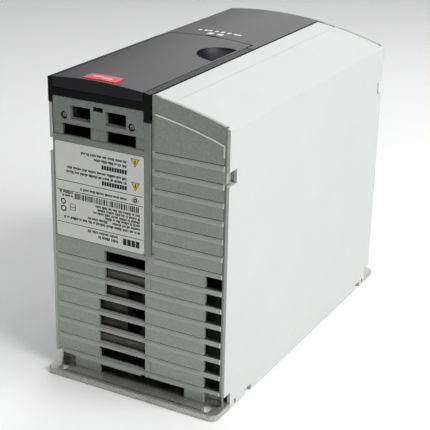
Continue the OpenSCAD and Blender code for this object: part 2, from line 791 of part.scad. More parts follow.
// Plug with a wire mouth, a screw well and a blade slot for each pole
module power_plug(x) {
    poles = floor((x[1] - x[0]) / pole_w);
    y1 = plug_y0 + power_plug_len;
    z1 = power_plug_z0 + power_plug_h;
    difference() {
        block(x, [plug_y0, y1], [power_plug_z0, z1]);
        block([x[0] - 1, x[1] + 1], [y1 - 8, y1 + 1], [power_plug_z0 + 15.5, z1 + 1]);
        for (i = [0 : poles - 1]) {
            c = (x[0] + x[1]) / 2 + (i - (poles - 1) / 2) * pole_w;
            block([c - 3.6, c + 3.6], [y1 - 12, y1 + 1], [power_plug_z0 + 3.5, power_plug_z0 + 11.5]);
            block([c - 1.2, c + 1.2], [plug_y0 - 1, plug_y0 + 8], [power_plug_z0 + 4, power_plug_z0 + 14]);
            bar_z(c, y1 - 11, power_plug_z0 + 14, z1 + 1, 2.9, 32);
        }
    }
}

module plug_screws(x) {
    poles = floor((x[1] - x[0]) / pole_w);
    for (i = [0 : poles - 1])
        screw_z((x[0] + x[1]) / 2 + (i - (poles - 1) / 2) * pole_w, plug_y0 + power_plug_len - 11,
            power_plug_z0 + 14, 2.5, 2.4, 0, 0);
}

module mains_plug() color([0.20, 0.20, 0.21]) power_plug(mains_x);
module motor_plug() color([0.20, 0.20, 0.21]) power_plug(motor_x);
module brake_plug() color([0.20, 0.20, 0.21]) power_plug(brake_x);
module mains_plug_screws() color([0.7, 0.7, 0.7]) plug_screws(mains_x);
module motor_plug_screws() color([0.7, 0.7, 0.7]) plug_screws(motor_x);
module brake_plug_screws() color([0.7, 0.7, 0.7]) plug_screws(brake_x);

module relay_header() color([0.17, 0.17, 0.18]) along_x(relay_x[0][0], relay_x[1][1])
    polygon([[64, board_z + board_t], [79.5, board_z + board_t], [79.5, relay_plug_z0 - 2],
        [plug_y0 - 0.4, relay_plug_z0 - 2], [plug_y0 - 0.4, relay_plug_z0 + relay_plug_h],
        [64, relay_plug_z0 + relay_plug_h]]);

// Small plug with a row of round wire holes and release slots
module small_plug(x, z0, h, len, pitch, hole_r) difference() {
    poles = round((x[1] - x[0]) / pitch);
    y1 = plug_y0 + len;
    block(x, [plug_y0, y1], [z0, z0 + h]);
    block([x[0] - 1, x[1] + 1], [y1 - 5, y1 + 1], [z0 + h * 0.72, z0 + h + 1]);
    for (i = [0 : poles - 1]) {
        c = (x[0] + x[1]) / 2 + (i - (poles - 1) / 2) * pitch;
        bar_y(c, y1 - 9, y1 + 1, z0 + h * 0.36, hole_r, 24);
        block([c - hole_r * 0.8, c + hole_r * 0.8], [y1 - 9.5, y1 - 7], [z0 + h * 0.7, z0 + h + 1]);
    }
}

module relay_plug_1() color([0.22, 0.22, 0.23])
    small_plug(relay_x[0], relay_plug_z0, relay_plug_h, relay_plug_len, relay_pole_w, 1.8);
module relay_plug_2() color([0.22, 0.22, 0.23])
    small_plug(relay_x[1], relay_plug_z0, relay_plug_h, relay_plug_len, relay_pole_w, 1.8);

// ---- control electronics ----

tray_x = [-62.2, 5.2];
tray_y = [-110, 98];

module control_cassette() color([0.24, 0.24, 0.25]) difference() {
    union() {
        block(tray_x, tray_y, [cassette_z, cassette_z + 1.6]);
        for (x = [[tray_x[0], tray_x[0] + 1.6], [tray_x[1] - 1.6, tray_x[1]]])
            block(x, tray_y, [cassette_z, cassette_top]);
        block(tray_x, [tray_y[0], tray_y[0] + 1.6], [cassette_z, cassette_top]);
        block(tray_x, [tray_y[0], 72], [cassette_top - 1.6, cassette_top]);
        for (x = [-56, -2], y = [-100, 60])
            bar_z(x, y, cassette_z + 1.6, cassette_top - 1.6, 2.6, 24);
    }
    // Windows for the keypad connector, the switches and the ribbon
    block([-46, -14], [-52, -28], [cassette_top - 3, cassette_top + 1]);
    block([-46, -22], [50, 66], [cassette_top - 3, cassette_top + 1]);
    block([-5, 4], [-22, 6], [cassette_z - 1, cassette_z + 3]);
}

board_level = 163;

module control_board() color([0.08, 0.30, 0.18]) difference() {
    block([-60.2, 3.2], [-107.6, 97], [board_level, board_level + board_t]);
    for (x = [-56, -2], y = [-100, 60])
        bar_z(x, y, board_level - 1, board_level + 3, 2.8, 24);
}

module control_headers() color([0.15, 0.15, 0.16]) for (x = control_x)
    block(x, [86, plug_y0 - 0.4], [board_level + board_t, control_plug_z0 + control_plug_h]);

module control_plug(x) small_plug(x, control_plug_z0, control_plug_h, control_plug_len, control_pole_w, 1.25);
module control_plug_bus() color([0.25, 0.25, 0.26]) control_plug(control_x[0]);
module control_plug_digital() color([0.25, 0.25, 0.26]) control_plug(control_x[1]);
module control_plug_analog() color([0.25, 0.25, 0.26]) control_plug(control_x[2]);

slider_xs = [-42, -34, -26];
slider_top = 174.6;

module switch_block() color([0.55, 0.08, 0.08]) difference() {
    block([-45, -22.6], [53, 63], [board_level + board_t, slider_top]);
    for (x = slider_xs)
        block([x - 1.2, x + 1.2], [55, 61], [slider_top - 2, slider_top + 1]);
}

module switch_slider(x) block([x - 0.85, x + 0.85], [55.35, 57.35], [slider_top - 1.7, slider_top + 0.9]);
module switch_slider_1() color([0.92, 0.92, 0.90]) switch_slider(slider_xs[0]);
module switch_slider_2() color([0.92, 0.92, 0.90]) switch_slider(slider_xs[1]);
module switch_slider_3() color([0.92, 0.92, 0.90]) switch_slider(slider_xs[2]);

module keypad_connector() color([0.12, 0.12, 0.13]) difference() {
    block([-42, -18], [-48, -32], [board_level + board_t, 189]);
    block([-40, -20], [-45, -35], [182, 190]);
}

module insulation_sheet() color([0.95, 0.93, 0.80]) difference() {
    block([-62.4, strip_x1 + 2], [-110, 110], [cassette_z - 3.5, cassette_z - 3]);
    block([-4, 3], [-21, 5], [cassette_z - 5, cassette_z]);
}

module ribbon_cable() color([0.75, 0.76, 0.78])
    block([-1.4, -0.4], [-18, 2], [board_z + board_t, board_level]);

module earth_screws() color([0.70, 0.70, 0.66]) for (x = [-30, 30])
    screw_z(x, hole_pitch_y / 2 - 0.5, plate_t, 3.9, 2.6, 1.6, plate_t - 0.2);

back_plate();
heatsink();
side_cover();
side_wall();
ribbed_end_panel();
label_panel();
fan_cover();
gland_panel();
panel_screws();
rating_label();
front_frame();
keypad_cover();
badge();
terminal_cover();
terminal_end_panel();
air_guide();
fan_frame();
fan_rotor();
fan_shaft();
power_module();
module_screws();
power_board();
board_standoffs();
dc_capacitors();
choke_cores();
choke_windings();
filter_core();
filter_windings();
suppression_capacitors();
power_relays();
current_sensors();
power_headers();
mains_plug();
mains_plug_screws();
motor_plug();
motor_plug_screws();
brake_plug();
brake_plug_screws();
relay_header();
relay_plug_1();
relay_plug_2();
control_cassette();
control_board();
control_headers();
control_plug_bus();
control_plug_digital();
control_plug_analog();
switch_block();
switch_slider_1();
switch_slider_2();
switch_slider_3();
keypad_connector();
insulation_sheet();
ribbon_cable();
earth_screws();
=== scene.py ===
import json
import math
import random

import bmesh
import bpy
from mathutils import Matrix, Vector


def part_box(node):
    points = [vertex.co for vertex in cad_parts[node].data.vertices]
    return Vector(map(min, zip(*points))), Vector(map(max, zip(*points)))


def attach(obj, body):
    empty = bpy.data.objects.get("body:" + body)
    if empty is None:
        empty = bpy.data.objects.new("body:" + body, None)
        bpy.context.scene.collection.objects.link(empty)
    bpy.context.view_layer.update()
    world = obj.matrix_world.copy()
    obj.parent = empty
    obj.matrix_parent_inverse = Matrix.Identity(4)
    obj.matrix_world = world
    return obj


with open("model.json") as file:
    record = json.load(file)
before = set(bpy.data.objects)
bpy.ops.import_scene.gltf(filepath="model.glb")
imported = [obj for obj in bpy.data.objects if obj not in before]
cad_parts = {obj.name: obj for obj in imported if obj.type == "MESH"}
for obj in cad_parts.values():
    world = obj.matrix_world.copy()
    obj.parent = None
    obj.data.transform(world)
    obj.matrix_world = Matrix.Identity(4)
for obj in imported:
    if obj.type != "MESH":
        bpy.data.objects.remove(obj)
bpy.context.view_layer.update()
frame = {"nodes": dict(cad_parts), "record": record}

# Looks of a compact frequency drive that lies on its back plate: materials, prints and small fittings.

NODES = frame["nodes"]
MM = 0.001

# ---- camera, floor and light ----

# The camera's place, its turn from +Y towards -X, its tilt down, its roll, and its lens in mm
CAMERA_AT = Vector((0.3709, -0.7113, 0.4006))
CAMERA_AZIMUTH = math.radians(28.18)
CAMERA_FALL = math.radians(21.61)
CAMERA_ROLL = math.radians(1.27)
CAMERA_LENS = 100
# Half the floor's width
FLOOR_HALF = 7.0
# Strength of the even light from all round
WORLD_STRENGTH = 0.06


def make_camera():
    """The camera looks down along +Y, turned towards -X, with a slight roll."""
    turn, fall = CAMERA_AZIMUTH, CAMERA_FALL
    forward = Vector((-math.sin(turn) * math.cos(fall), math.cos(turn) * math.cos(fall), -math.sin(fall)))
    level = Vector((math.cos(turn), math.sin(turn), 0))
    upright = level.cross(forward)
    right = level * math.cos(CAMERA_ROLL) + upright * math.sin(CAMERA_ROLL)
    up = right.cross(forward)
    data = bpy.data.cameras.new("camera")
    data.lens = CAMERA_LENS
    data.clip_start, data.clip_end = 0.01, 40
    camera = bpy.data.objects.new("camera", data)
    camera.matrix_world = Matrix.Translation(CAMERA_AT) @ Matrix((right, up, -forward)).transposed().to_4x4()
    bpy.context.scene.collection.objects.link(camera)
    bpy.context.scene.camera = camera


def make_light(name, at, aim, size, watts, spread=180):
    """A rectangular soft light at a point, turned towards another; spread is its beam in degrees."""
    data = bpy.data.lights.new(name, "AREA")
    data.shape = "RECTANGLE"
    data.size, data.size_y = size
    data.energy = watts
    data.spread = math.radians(spread)
    light = bpy.data.objects.new(name, data)
    facing = (Vector(aim) - Vector(at)).to_track_quat("-Z", "Y")
    light.matrix_world = Matrix.Translation(at) @ facing.to_matrix().to_4x4()
    bpy.context.scene.collection.objects.link(light)


def make_world():
    """A dim, even and slightly cool surrounding."""
    world = bpy.data.worlds.new("studio")
    world.use_nodes = True
    background = world.node_tree.nodes["Background"]
    background.inputs["Color"].default_value = (0.97, 0.99, 1.0, 1)
    background.inputs["Strength"].default_value = WORLD_STRENGTH
    bpy.context.scene.world = world


# ---- materials ----

# Length over which Blender's wave texture repeats at scale 1
WAVE_LENGTH = 0.314
# Height of the lowest rib line of the end panels, the step to the next one, and the highest
RIB_FIRST = 15.8 * MM
RIB_PITCH = 11.75 * MM
RIB_LAST = RIB_FIRST + 13 * RIB_PITCH
# Sideways start and end of the near end panel's raised field, and its depth under the arch
FIELD_START = 13 * MM
FIELD_EDGE = 61.2 * MM
FIELD_DROP = 11 * MM
# Sideways end, and lower and upper height, of the snap tabs between the fan cover and the ribbed panel
TAB_EDGE = 10.3 * MM
TAB_HEIGHTS = [(16.6 * MM, 24 * MM), (74.5 * MM, 82.3 * MM)]
# Sideways start and end, and height, of each pale stroke on the badge
BADGE_STROKES = [(4.5, 11.0, 0.7), (12.2, 19.5, -0.7)]


def arch_circle(node):
    """Centre x, centre height and radius of the arched top, from three points of it."""
    low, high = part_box(node)
    xs = [low.x + 0.5 * MM, (low.x + high.x) / 2, high.x - 0.5 * MM]
    pts = []
    for x in xs:
        best = max((v.co.z, v.co.x) for v in NODES[node].data.vertices if abs(v.co.x - x) < 3 * MM)
        pts.append(Vector((best[1], best[0], 0)))
    a, b, c = pts
    d = 2 * (a.x * (b.y - c.y) + b.x * (c.y - a.y) + c.x * (a.y - b.y))
    aa, bb, cc = a.length_squared, b.length_squared, c.length_squared
    ux = (aa * (b.y - c.y) + bb * (c.y - a.y) + cc * (a.y - b.y)) / d
    uy = (aa * (c.x - b.x) + bb * (a.x - c.x) + cc * (b.x - a.x)) / d
    return ux, uy, math.hypot(a.x - ux, a.y - uy)


class Surface:
    """One material's node tree, with a short call for each kind of node that it uses."""

    def __init__(self, name, color, roughness, metallic=0.0, specular=0.5):
        self.material = bpy.data.materials.new(name)
        self.material.use_nodes = True
        self.material.diffuse_color = (*color, 1)
        self.tree = self.material.node_tree
        self.shader = self.tree.nodes["Principled BSDF"]
        self.place = self.add("ShaderNodeTexCoord").outputs["Object"]
        self.set("Base Color", (*color, 1))
        self.set("Roughness", roughness)
        self.set("Metallic", metallic)
        self.set("Specular IOR Level", specular)
        self.color = (*color, 1)
        self.normal = None

    def add(self, kind, inputs=None, **settings):
        """A new node; an input is linked where its value is a socket, and set where it is a constant."""
        node = self.tree.nodes.new(kind)
        for key, value in settings.items():
            setattr(node, key, value)
        for key, value in (inputs or {}).items():
            if isinstance(value, bpy.types.NodeSocket):
                self.tree.links.new(value, node.inputs[key])
            else:
                node.inputs[key].default_value = value
        return node

    def set(self, socket, value):
        """Links or sets one of the shader's inputs."""
        if isinstance(value, bpy.types.NodeSocket):
            self.tree.links.new(value, self.shader.inputs[socket])
        else:
            self.shader.inputs[socket].default_value = value

    def math(self, operation, a, b=0.0, clamp=False):
        """The result of an arithmetic node for two values, each a socket or a constant."""
        return self.add("ShaderNodeMath", {0: a, 1: b}, operation=operation, use_clamp=clamp).outputs[0]

    def stretched(self, scale):
        """Object coordinates, in metres, scaled along each axis."""
        return self.add("ShaderNodeMapping", {"Vector": self.place, "Scale": scale}).outputs[0]

    def noise(self, size, detail=3.0, rough=0.5, place=None):
        """Cloudy noise whose features are about size metres across."""
        inputs = {"Vector": place or self.place, "Scale": 1 / size, "Detail": detail, "Roughness": rough}
        return self.add("ShaderNodeTexNoise", inputs).outputs["Fac"]

    def cells(self, size, feature="F1", output="Distance", place=None):
        """Voronoi cells about size metres across."""
        inputs = {"Vector": place or self.place, "Scale": 1 / size}
        return self.add("ShaderNodeTexVoronoi", inputs, feature=feature).outputs[output]

    def band(self, value, low, high, to_low=0.0, to_high=1.0):
        """Value mapped from low..high to to_low..to_high and clamped."""
        inputs = {"Value": value, "From Min": low, "From Max": high, "To Min": to_low, "To Max": to_high}
        return self.add("ShaderNodeMapRange", inputs).outputs["Result"]

    def mix(self, factor, a, b):
        """Colour a where factor is 0 and colour b where it is 1."""
        node = self.add("ShaderNodeMix", {"Factor": factor}, data_type="RGBA")
        for socket, value in ((node.inputs[6], a), (node.inputs[7], b)):
            if isinstance(value, bpy.types.NodeSocket):
                self.tree.links.new(value, socket)
            else:
                socket.default_value = value
        return node.outputs[2]

    def shade(self, factor):
        """The material's own colour, made darker below 1 and lighter above it."""
        return tuple(min(1.0, c * factor) for c in self.color[:3]) + (1,)

    def bump(self, height, depth, strength=1.0):
        """Raises the surface by depth metres where height is 1, on top of the bumps so far."""
        inputs = {"Height": height, "Distance": depth, "Strength": strength}
        if self.normal is not None:
            inputs["Normal"] = self.normal
        self.normal = self.add("ShaderNodeBump", inputs).outputs["Normal"]
        self.set("Normal", self.normal)

    def edges(self, radius, low=0.02, high=0.25):
        """1 along edges, 0 on flat surfaces."""
        rounded = self.add("ShaderNodeBevel", {"Radius": radius}, samples=4).outputs["Normal"]
        flat = self.add("ShaderNodeNewGeometry").outputs["Normal"]
        product = self.add("ShaderNodeVectorMath", {0: rounded, 1: flat}, operation="DOT_PRODUCT")
        return self.band(self.math("SUBTRACT", 1.0, product.outputs["Value"]), low, high)

    def crevices(self, distance):
        """1 deep in a corner, 0 in the open."""
        open_sky = self.add("ShaderNodeAmbientOcclusion", {"Distance": distance}, samples=6).outputs["AO"]
        return self.band(open_sky, 0.25, 0.85, 1.0, 0.0)


def moulded(name, color, roughness=0.5, grain=0.35, depth=0.02, wear=1.25, grime_and_shade=0.8, specular=0.5, dust=0.0,
            mottle=0.03, gloss_swing=0.05, painted_rib_light=False, painted_top_shade=0.0):
    """Injection moulded plastic: spark-eroded grain, cloudy colour, rubbed edges, and corners darkened by
    soiling and painted shade in pale plastics and lightened by dust in dark ones.
    """
    s = Surface(name, color, roughness, specular=specular)
    cloud = s.noise(45 * MM, 4)
    fine = s.noise(grain * MM, 2, 0.6)
    tone = s.mix(s.band(cloud, 0.3, 0.7), s.shade(0.97), s.shade(1.03))
    tone = s.mix(s.band(s.noise(1.6 * MM, 3, 0.7), 0.35, 0.65), tone, s.shade(1 - 3 * mottle))
    tone = s.mix(s.band(fine, 0.35, 0.75, 0, 0.35), tone, s.shade(0.86))
    rub = s.math("MULTIPLY", s.edges(0.7 * MM), s.band(s.noise(6 * MM, 4), 0.42, 0.62), clamp=True)
    tone = s.mix(s.math("MULTIPLY", rub, 0.7), tone, s.shade(wear))
    # Corners: soiling with painted shade where grime_and_shade is below 1, pale dust where it is above 1.
    patches = s.band(s.noise(9 * MM, 4), 0.2, 0.6, 0.5, 1.0)
    corner_soil_and_shade = s.math("MULTIPLY", s.crevices(2.2 * MM), patches, clamp=True)
    tone = s.mix(s.math("MULTIPLY", corner_soil_and_shade, 0.6), tone, s.shade(grime_and_shade))
    # Painted shade: the colour darkens towards the top, as the floor lights the foot more.
    if painted_top_shade:
        height = s.add("ShaderNodeSeparateXYZ", {0: s.place}).outputs["Z"]
        tone = s.mix(s.band(height, 20 * MM, 190 * MM, 0.0, painted_top_shade), tone, (0, 0, 0, 1))
    if painted_rib_light:
        # Painted light and shade on the end panels' ribs: lighter slanted faces, pale painted highlights on
        # the raised field, painted shadow in the grooves, and dark seams by the snap tabs.
        crease_shadow_and_seam, lit_slope, pale = rib_light_and_shade(s)
        tone = s.mix(lit_slope, tone, s.shade(1.12))
        tone = s.mix(s.math("MULTIPLY", pale, 0.85), tone, s.shade(2.1))
        tone = s.mix(s.math("MULTIPLY", crease_shadow_and_seam, 0.92), tone, s.shade(0.08))
    if dust:
        specks = s.band(s.cells(5 * MM), 0.0, 0.06, 1.0, 0.0)
        specks = s.math("MULTIPLY", specks, s.band(s.noise(14 * MM, 2), 0.5, 0.6), clamp=True)
        tone = s.mix(s.math("MULTIPLY", specks, dust), tone, (0.55, 0.55, 0.53, 1))
    s.set("Base Color", tone)
    gloss = s.band(s.noise(28 * MM, 5, 0.6), 0.3, 0.7, roughness - gloss_swing, roughness + gloss_swing)
    s.set("Roughness", s.mix(rub, gloss, (roughness - 0.12,) * 3 + (1,)))
    s.bump(fine, depth * MM, 0.6)
    return s.material


def within(s, value, low, high, blur):
    """1 where value lies between low and high, 0 outside, with edges blur wide."""
    inside = s.math("MULTIPLY", s.band(value, low - blur, low), s.band(value, high, high + blur, 1.0, 0.0))
    return s.math("MULTIPLY", inside, 1.0, clamp=True)


def rib_light_and_shade(s):
    """Masks of the end panels: painted shadow in the grooves under the ribs with dark seams by the snap tabs,
    painted light on the faces below the ribs, and painted highlights round the raised field.
    """
    place = s.add("ShaderNodeSeparateXYZ", {0: s.place})
    x, y, z = (place.outputs[axis] for axis in "XYZ")
    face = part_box("ribbed_end_panel")[0].y
    sunk = s.math("SUBTRACT", -face, s.math("ABSOLUTE", y))
    turn = s.math("FRACT", s.math("DIVIDE", s.math("SUBTRACT", z, RIB_FIRST), RIB_PITCH))
    # Painted shadow in the groove under each rib line, and a dark seam beside each snap tab of the near end
    crease_shadow_and_seam = s.math("MULTIPLY", s.band(turn, 0.925, 0.945), s.band(sunk, 0.62 * MM, 0.66 * MM), clamp=True)
    for low, high in TAB_HEIGHTS:
        beside = within(s, x, TAB_EDGE, TAB_EDGE + 0.3 * MM, 0.1 * MM)
        seam = s.math("MULTIPLY", within(s, z, low, high, 0.1 * MM), beside)
        near = s.band(y, 0.0, 1 * MM, 0.6, 0.0)
        crease_shadow_and_seam = s.math("MAXIMUM", crease_shadow_and_seam, s.math("MULTIPLY", seam, near))
    # Painted light on the slanted face under each rib line, and a painted highlight down its sideways end
    lit_slope = s.math("MULTIPLY", s.band(turn, 0.62, 0.66), s.band(sunk, 0.04 * MM, 0.1 * MM))
    lit_slope = s.math("MULTIPLY", lit_slope, s.band(x, FIELD_EDGE, FIELD_EDGE + 0.1 * MM, 1.0, 0.0), clamp=True)
    lit_slope = s.math("MULTIPLY", lit_slope, s.band(z, RIB_LAST, RIB_LAST + 0.1 * MM, 1.0, 0.0), clamp=True)
    slope_end_highlight = s.math("MULTIPLY", lit_slope, within(s, x, FIELD_EDGE - 0.6 * MM, FIELD_EDGE + 0.2 * MM, 0.1 * MM))
    # A painted highlight round the raised field, along the arch and down its side
    ux, uz, radius = arch_circle("keypad_cover")
    across, up = s.math("SUBTRACT", x, ux), s.math("SUBTRACT", z, uz)
    away = s.math("SQRT", s.math("ADD", s.math("MULTIPLY", across, across), s.math("MULTIPLY", up, up)))
    ledge = radius - FIELD_DROP
    arch = within(s, away, ledge - 0.7 * MM, ledge + 0.05 * MM, 0.1 * MM)
    arch = s.math("MULTIPLY", arch, within(s, x, FIELD_START, FIELD_EDGE, 0.1 * MM))
    side = within(s, away, ledge - 7 * MM, ledge, 0.4 * MM)
    side = s.math("MULTIPLY", side, within(s, x, FIELD_EDGE - 0.6 * MM, FIELD_EDGE + 0.1 * MM, 0.1 * MM))
    raised = s.math("MULTIPLY", s.math("MAXIMUM", arch, side), s.band(sunk, 0.5 * MM, 0.55 * MM, 1.0, 0.0))
    raised = s.math("MULTIPLY", raised, s.band(y, 0.0, 1 * MM, 1.0, 0.0))
    return crease_shadow_and_seam, lit_slope, s.math("MAXIMUM", slope_end_highlight, raised)


def glossy(name, color, roughness=0.25, coat=0.3):
    """Smooth plastic with a light coat, faint clouding and fine handling marks."""
    s = Surface(name, color, roughness)
    s.set("Coat Weight", coat)
    s.set("Coat Roughness", 0.12)
    tone = s.mix(s.band(s.noise(8 * MM, 4), 0.3, 0.7), s.shade(0.92), s.shade(1.06))
    s.set("Base Color", s.mix(s.math("MULTIPLY", s.edges(0.3 * MM), 0.4), tone, s.shade(1.3)))
    scuffs = s.noise(1.5 * MM, 3, 0.7, s.stretched((1, 9, 1)))
    s.set("Roughness", s.band(scuffs, 0.35, 0.75, roughness - 0.04, roughness + 0.14))
    s.bump(s.noise(0.6 * MM, 2), 0.008 * MM, 0.4)
    return s.material


def metal(name, color, roughness=0.35, streak=(1, 14, 14), streak_size=2.2, cast=0.0, metallic=1.0,
          speckle=0.0):
    """Bare metal: drawn streaks, cloudy oxide, bright rubbed edges and, where cast is given, a cast grain."""
    s = Surface(name, color, roughness, metallic)
    streaks = s.noise(streak_size * MM, 4, 0.65, s.stretched(streak))
    oxide = s.noise(18 * MM, 5, 0.6)
    tone = s.mix(s.band(streaks, 0.3, 0.7), s.shade(0.9), s.shade(1.05))
    tone = s.mix(s.band(oxide, 0.45, 0.75, 0, 0.5), tone, s.shade(0.78))
    if speckle:
        tone = s.mix(s.band(s.noise(1.1 * MM, 3, 0.7), 0.42, 0.62, 0, speckle), tone, s.shade(0.45))
    rub = s.math("MULTIPLY", s.edges(0.5 * MM), 0.6, clamp=True)
    s.set("Base Color", s.mix(rub, tone, s.shade(1.2)))
    rough = s.band(streaks, 0.3, 0.7, roughness - 0.06, roughness + 0.08)
    s.set("Roughness", s.math("ADD", rough, s.band(oxide, 0.45, 0.75, 0, 0.12)))
    s.bump(streaks, 0.006 * MM, 0.5)
    if cast:
        s.bump(s.noise(0.7 * MM, 3), cast * MM, 0.5)
    return s.material


def sunk_screw(name, color):
    """A dulled steel head down a hole: bright in the middle, with painted shadow round its outer part."""
    s = Surface(name, color, 0.34, 0.9)
    place = s.add("ShaderNodeSeparateXYZ", {0: s.place})
    low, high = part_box("panel_screws")
    head = (high.z - low.z) / 2
    middle, apart = (low.x + high.x) / 2, (high.x - low.x) / 2 - head
    across = s.math("SUBTRACT", s.math("ABSOLUTE", s.math("SUBTRACT", place.outputs["X"], middle)), apart)
    up = s.math("SUBTRACT", place.outputs["Z"], (low.z + high.z) / 2)
    away = s.math("SQRT", s.math("ADD", s.math("MULTIPLY", across, across), s.math("MULTIPLY", up, up)))
    # Painted shadow that the hole casts round the head.
    rim_shadow = s.band(away, 0.55 * head, 0.72 * head)
    tone = s.mix(s.band(s.noise(1.2 * MM, 4), 0.3, 0.7), s.shade(0.7), s.shade(1.2))
    s.set("Base Color", s.mix(rim_shadow, tone, s.shade(0.04)))
    s.set("Roughness", s.band(rim_shadow, 0.0, 1.0, 0.34, 0.7))
    s.bump(s.noise(0.8 * MM, 3), 0.02 * MM, 0.5)
    return s.material


def badge_look(name, color):
    """The badge's red with two pale strokes printed on it, which stand for a name."""
    s = Surface(name, color, 0.5, specular=0.4)
    s.set("Coat Weight", 0.04)
    s.set("Coat Roughness", 0.12)
    place = s.add("ShaderNodeSeparateXYZ", {0: s.place})
    low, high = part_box("badge")
    middle = (low.y + high.y) / 2
    tone = s.mix(s.band(s.noise(8 * MM, 4), 0.3, 0.7), s.shade(0.94), s.shade(1.04))
    for x0, x1, y in BADGE_STROKES:
        across = within(s, place.outputs["X"], low.x + x0 * MM, low.x + x1 * MM, 0.1 * MM)
        along = within(s, place.outputs["Y"], middle + (y - 0.6) * MM, middle + (y + 0.6) * MM, 0.1 * MM)
        tone = s.mix(s.math("MULTIPLY", across, along), tone, (0.80, 0.72, 0.72, 1))
    s.set("Base Color", tone)
    s.set("Roughness", s.band(s.noise(1.5 * MM, 3, 0.7), 0.35, 0.75, 0.46, 0.6))
    s.bump(s.noise(0.6 * MM, 2), 0.008 * MM, 0.4)
    return s.material


def guide_look(name, color):
    """Sooty plastic behind the vents, with painted shadow where a rib keeps the light off it, reaching
    further down round the hub.
    """
    s = Surface(name, color, 0.4, specular=0.4)
    height = s.add("ShaderNodeSeparateXYZ", {0: s.place}).outputs["Z"]
    turn = s.math("FRACT", s.math("DIVIDE", s.math("SUBTRACT", height, RIB_FIRST), RIB_PITCH))
    low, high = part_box("air_guide")
    middle, reach = (low.z + high.z) / 2, 16 * MM
    hub = within(s, height, middle - reach, middle + reach, 0.5 * MM)
    shaded = s.math("MAXIMUM", s.band(turn, 0.40, 0.46), s.math("MULTIPLY", hub, s.band(turn, 0.22, 0.28)))
    soot = s.band(s.noise(4 * MM, 5, 0.7, s.stretched((0.5, 1, 2))), 0.38, 0.62)
    tone = s.mix(soot, s.shade(0.45), s.shade(1.6))
    tone = s.mix(s.math("MULTIPLY", s.band(s.noise(0.9 * MM, 3, 0.7), 0.4, 0.7), 0.6), tone, s.shade(0.5))
    s.set("Base Color", s.mix(shaded, tone, s.shade(0.12)))
    s.set("Roughness", s.band(soot, 0.0, 1.0, 0.5, 0.34))
    s.bump(s.noise(0.8 * MM, 3), 0.04 * MM, 0.6)
    return s.material


def printed_board(name, color):
    """Solder mask over copper: traces a little lighter than the laminate, and tinned vias."""
    s = Surface(name, color, 0.32)
    s.set("Coat Weight", 0.25)
    s.set("Coat Roughness", 0.15)
    traces = s.cells(3.6 * MM, "DISTANCE_TO_EDGE", place=s.stretched((1, 0.35, 1)))
    track = s.band(traces, 0.03, 0.045)
    planes = s.band(s.noise(22 * MM, 2), 0.5, 0.52)
    tone = s.mix(track, s.shade(1.75), s.color)
    tone = s.mix(s.math("MULTIPLY", planes, 0.5), tone, s.shade(1.4))
    via = s.band(s.cells(3.1 * MM), 0.10, 0.12, 1.0, 0.0)
    s.set("Base Color", s.mix(via, tone, (0.62, 0.60, 0.52, 1)))
    s.set("Roughness", s.band(s.noise(10 * MM, 3), 0.3, 0.7, 0.27, 0.4))
    s.bump(track, 0.03 * MM, 0.5)
    return s.material


def windings(name, color, wire=1.3):
    """Enamelled wire laid side by side: round ridges across the block."""
    s = Surface(name, color, 0.28, 0.85)
    s.set("Coat Weight", 0.5)
    s.set("Coat Roughness", 0.1)
    inputs = {"Vector": s.place, "Scale": WAVE_LENGTH / (wire * MM) / 2, "Distortion": 0.4, "Detail": 0.0}
    ridges = s.add("ShaderNodeTexWave", inputs, bands_direction="Y", wave_profile="SIN").outputs["Fac"]
    # Painted shade in the grooves between the wires.
    tone = s.mix(s.band(ridges, 0.0, 0.5), s.shade(0.35), s.color)
    s.set("Base Color", s.mix(s.band(s.noise(6 * MM, 3), 0.4, 0.7, 0, 0.4), tone, s.shade(0.7)))
    s.set("Roughness", s.band(s.noise(4 * MM, 3), 0.3, 0.7, 0.22, 0.4))
    s.bump(ridges, 0.35 * MM, 0.8)
    return s.material


def laminated_steel(name, color, sheet=0.5):
    """Stacked and varnished steel sheets, seen on edge."""
    s = Surface(name, color, 0.55, 0.6)
    inputs = {"Vector": s.place, "Scale": WAVE_LENGTH / (sheet * MM) / 2, "Distortion": 0.15, "Detail": 1.0}
    sheets = s.add("ShaderNodeTexWave", inputs, bands_direction="X", wave_profile="SIN").outputs["Fac"]
    tone = s.mix(sheets, s.shade(0.6), s.shade(1.35))
    rust = s.band(s.noise(12 * MM, 5, 0.6), 0.55, 0.75, 0, 0.5)
    s.set("Base Color", s.mix(rust, tone, (0.20, 0.11, 0.06, 1)))
    s.set("Roughness", s.band(s.noise(5 * MM, 3), 0.3, 0.7, 0.45, 0.7))
    s.bump(sheets, 0.08 * MM, 0.6)
    return s.material


def capacitor_sleeve(name, color, top):
    """Shrink sleeve with a polarity stripe, open over a bright aluminium lid at height top."""
    s = Surface(name, color, 0.3)
    s.set("Coat Weight", 0.35)
    s.set("Coat Roughness", 0.1)
    height = s.add("ShaderNodeSeparateXYZ", {0: s.place}).outputs["Z"]
    lid = s.band(height, top - 2.6 * MM, top - 2.5 * MM)
    tone = s.mix(s.band(s.noise(9 * MM, 3), 0.3, 0.7), s.shade(0.85), s.shade(1.2))
    s.set("Base Color", s.mix(lid, tone, (0.75, 0.76, 0.77, 1)))
    s.set("Metallic", lid)
    s.set("Roughness", s.band(s.noise(2 * MM, 3, 0.6), 0.3, 0.7, 0.24, 0.38))
    s.bump(s.noise(2.5 * MM, 2), 0.02 * MM, 0.4)
    return s.material


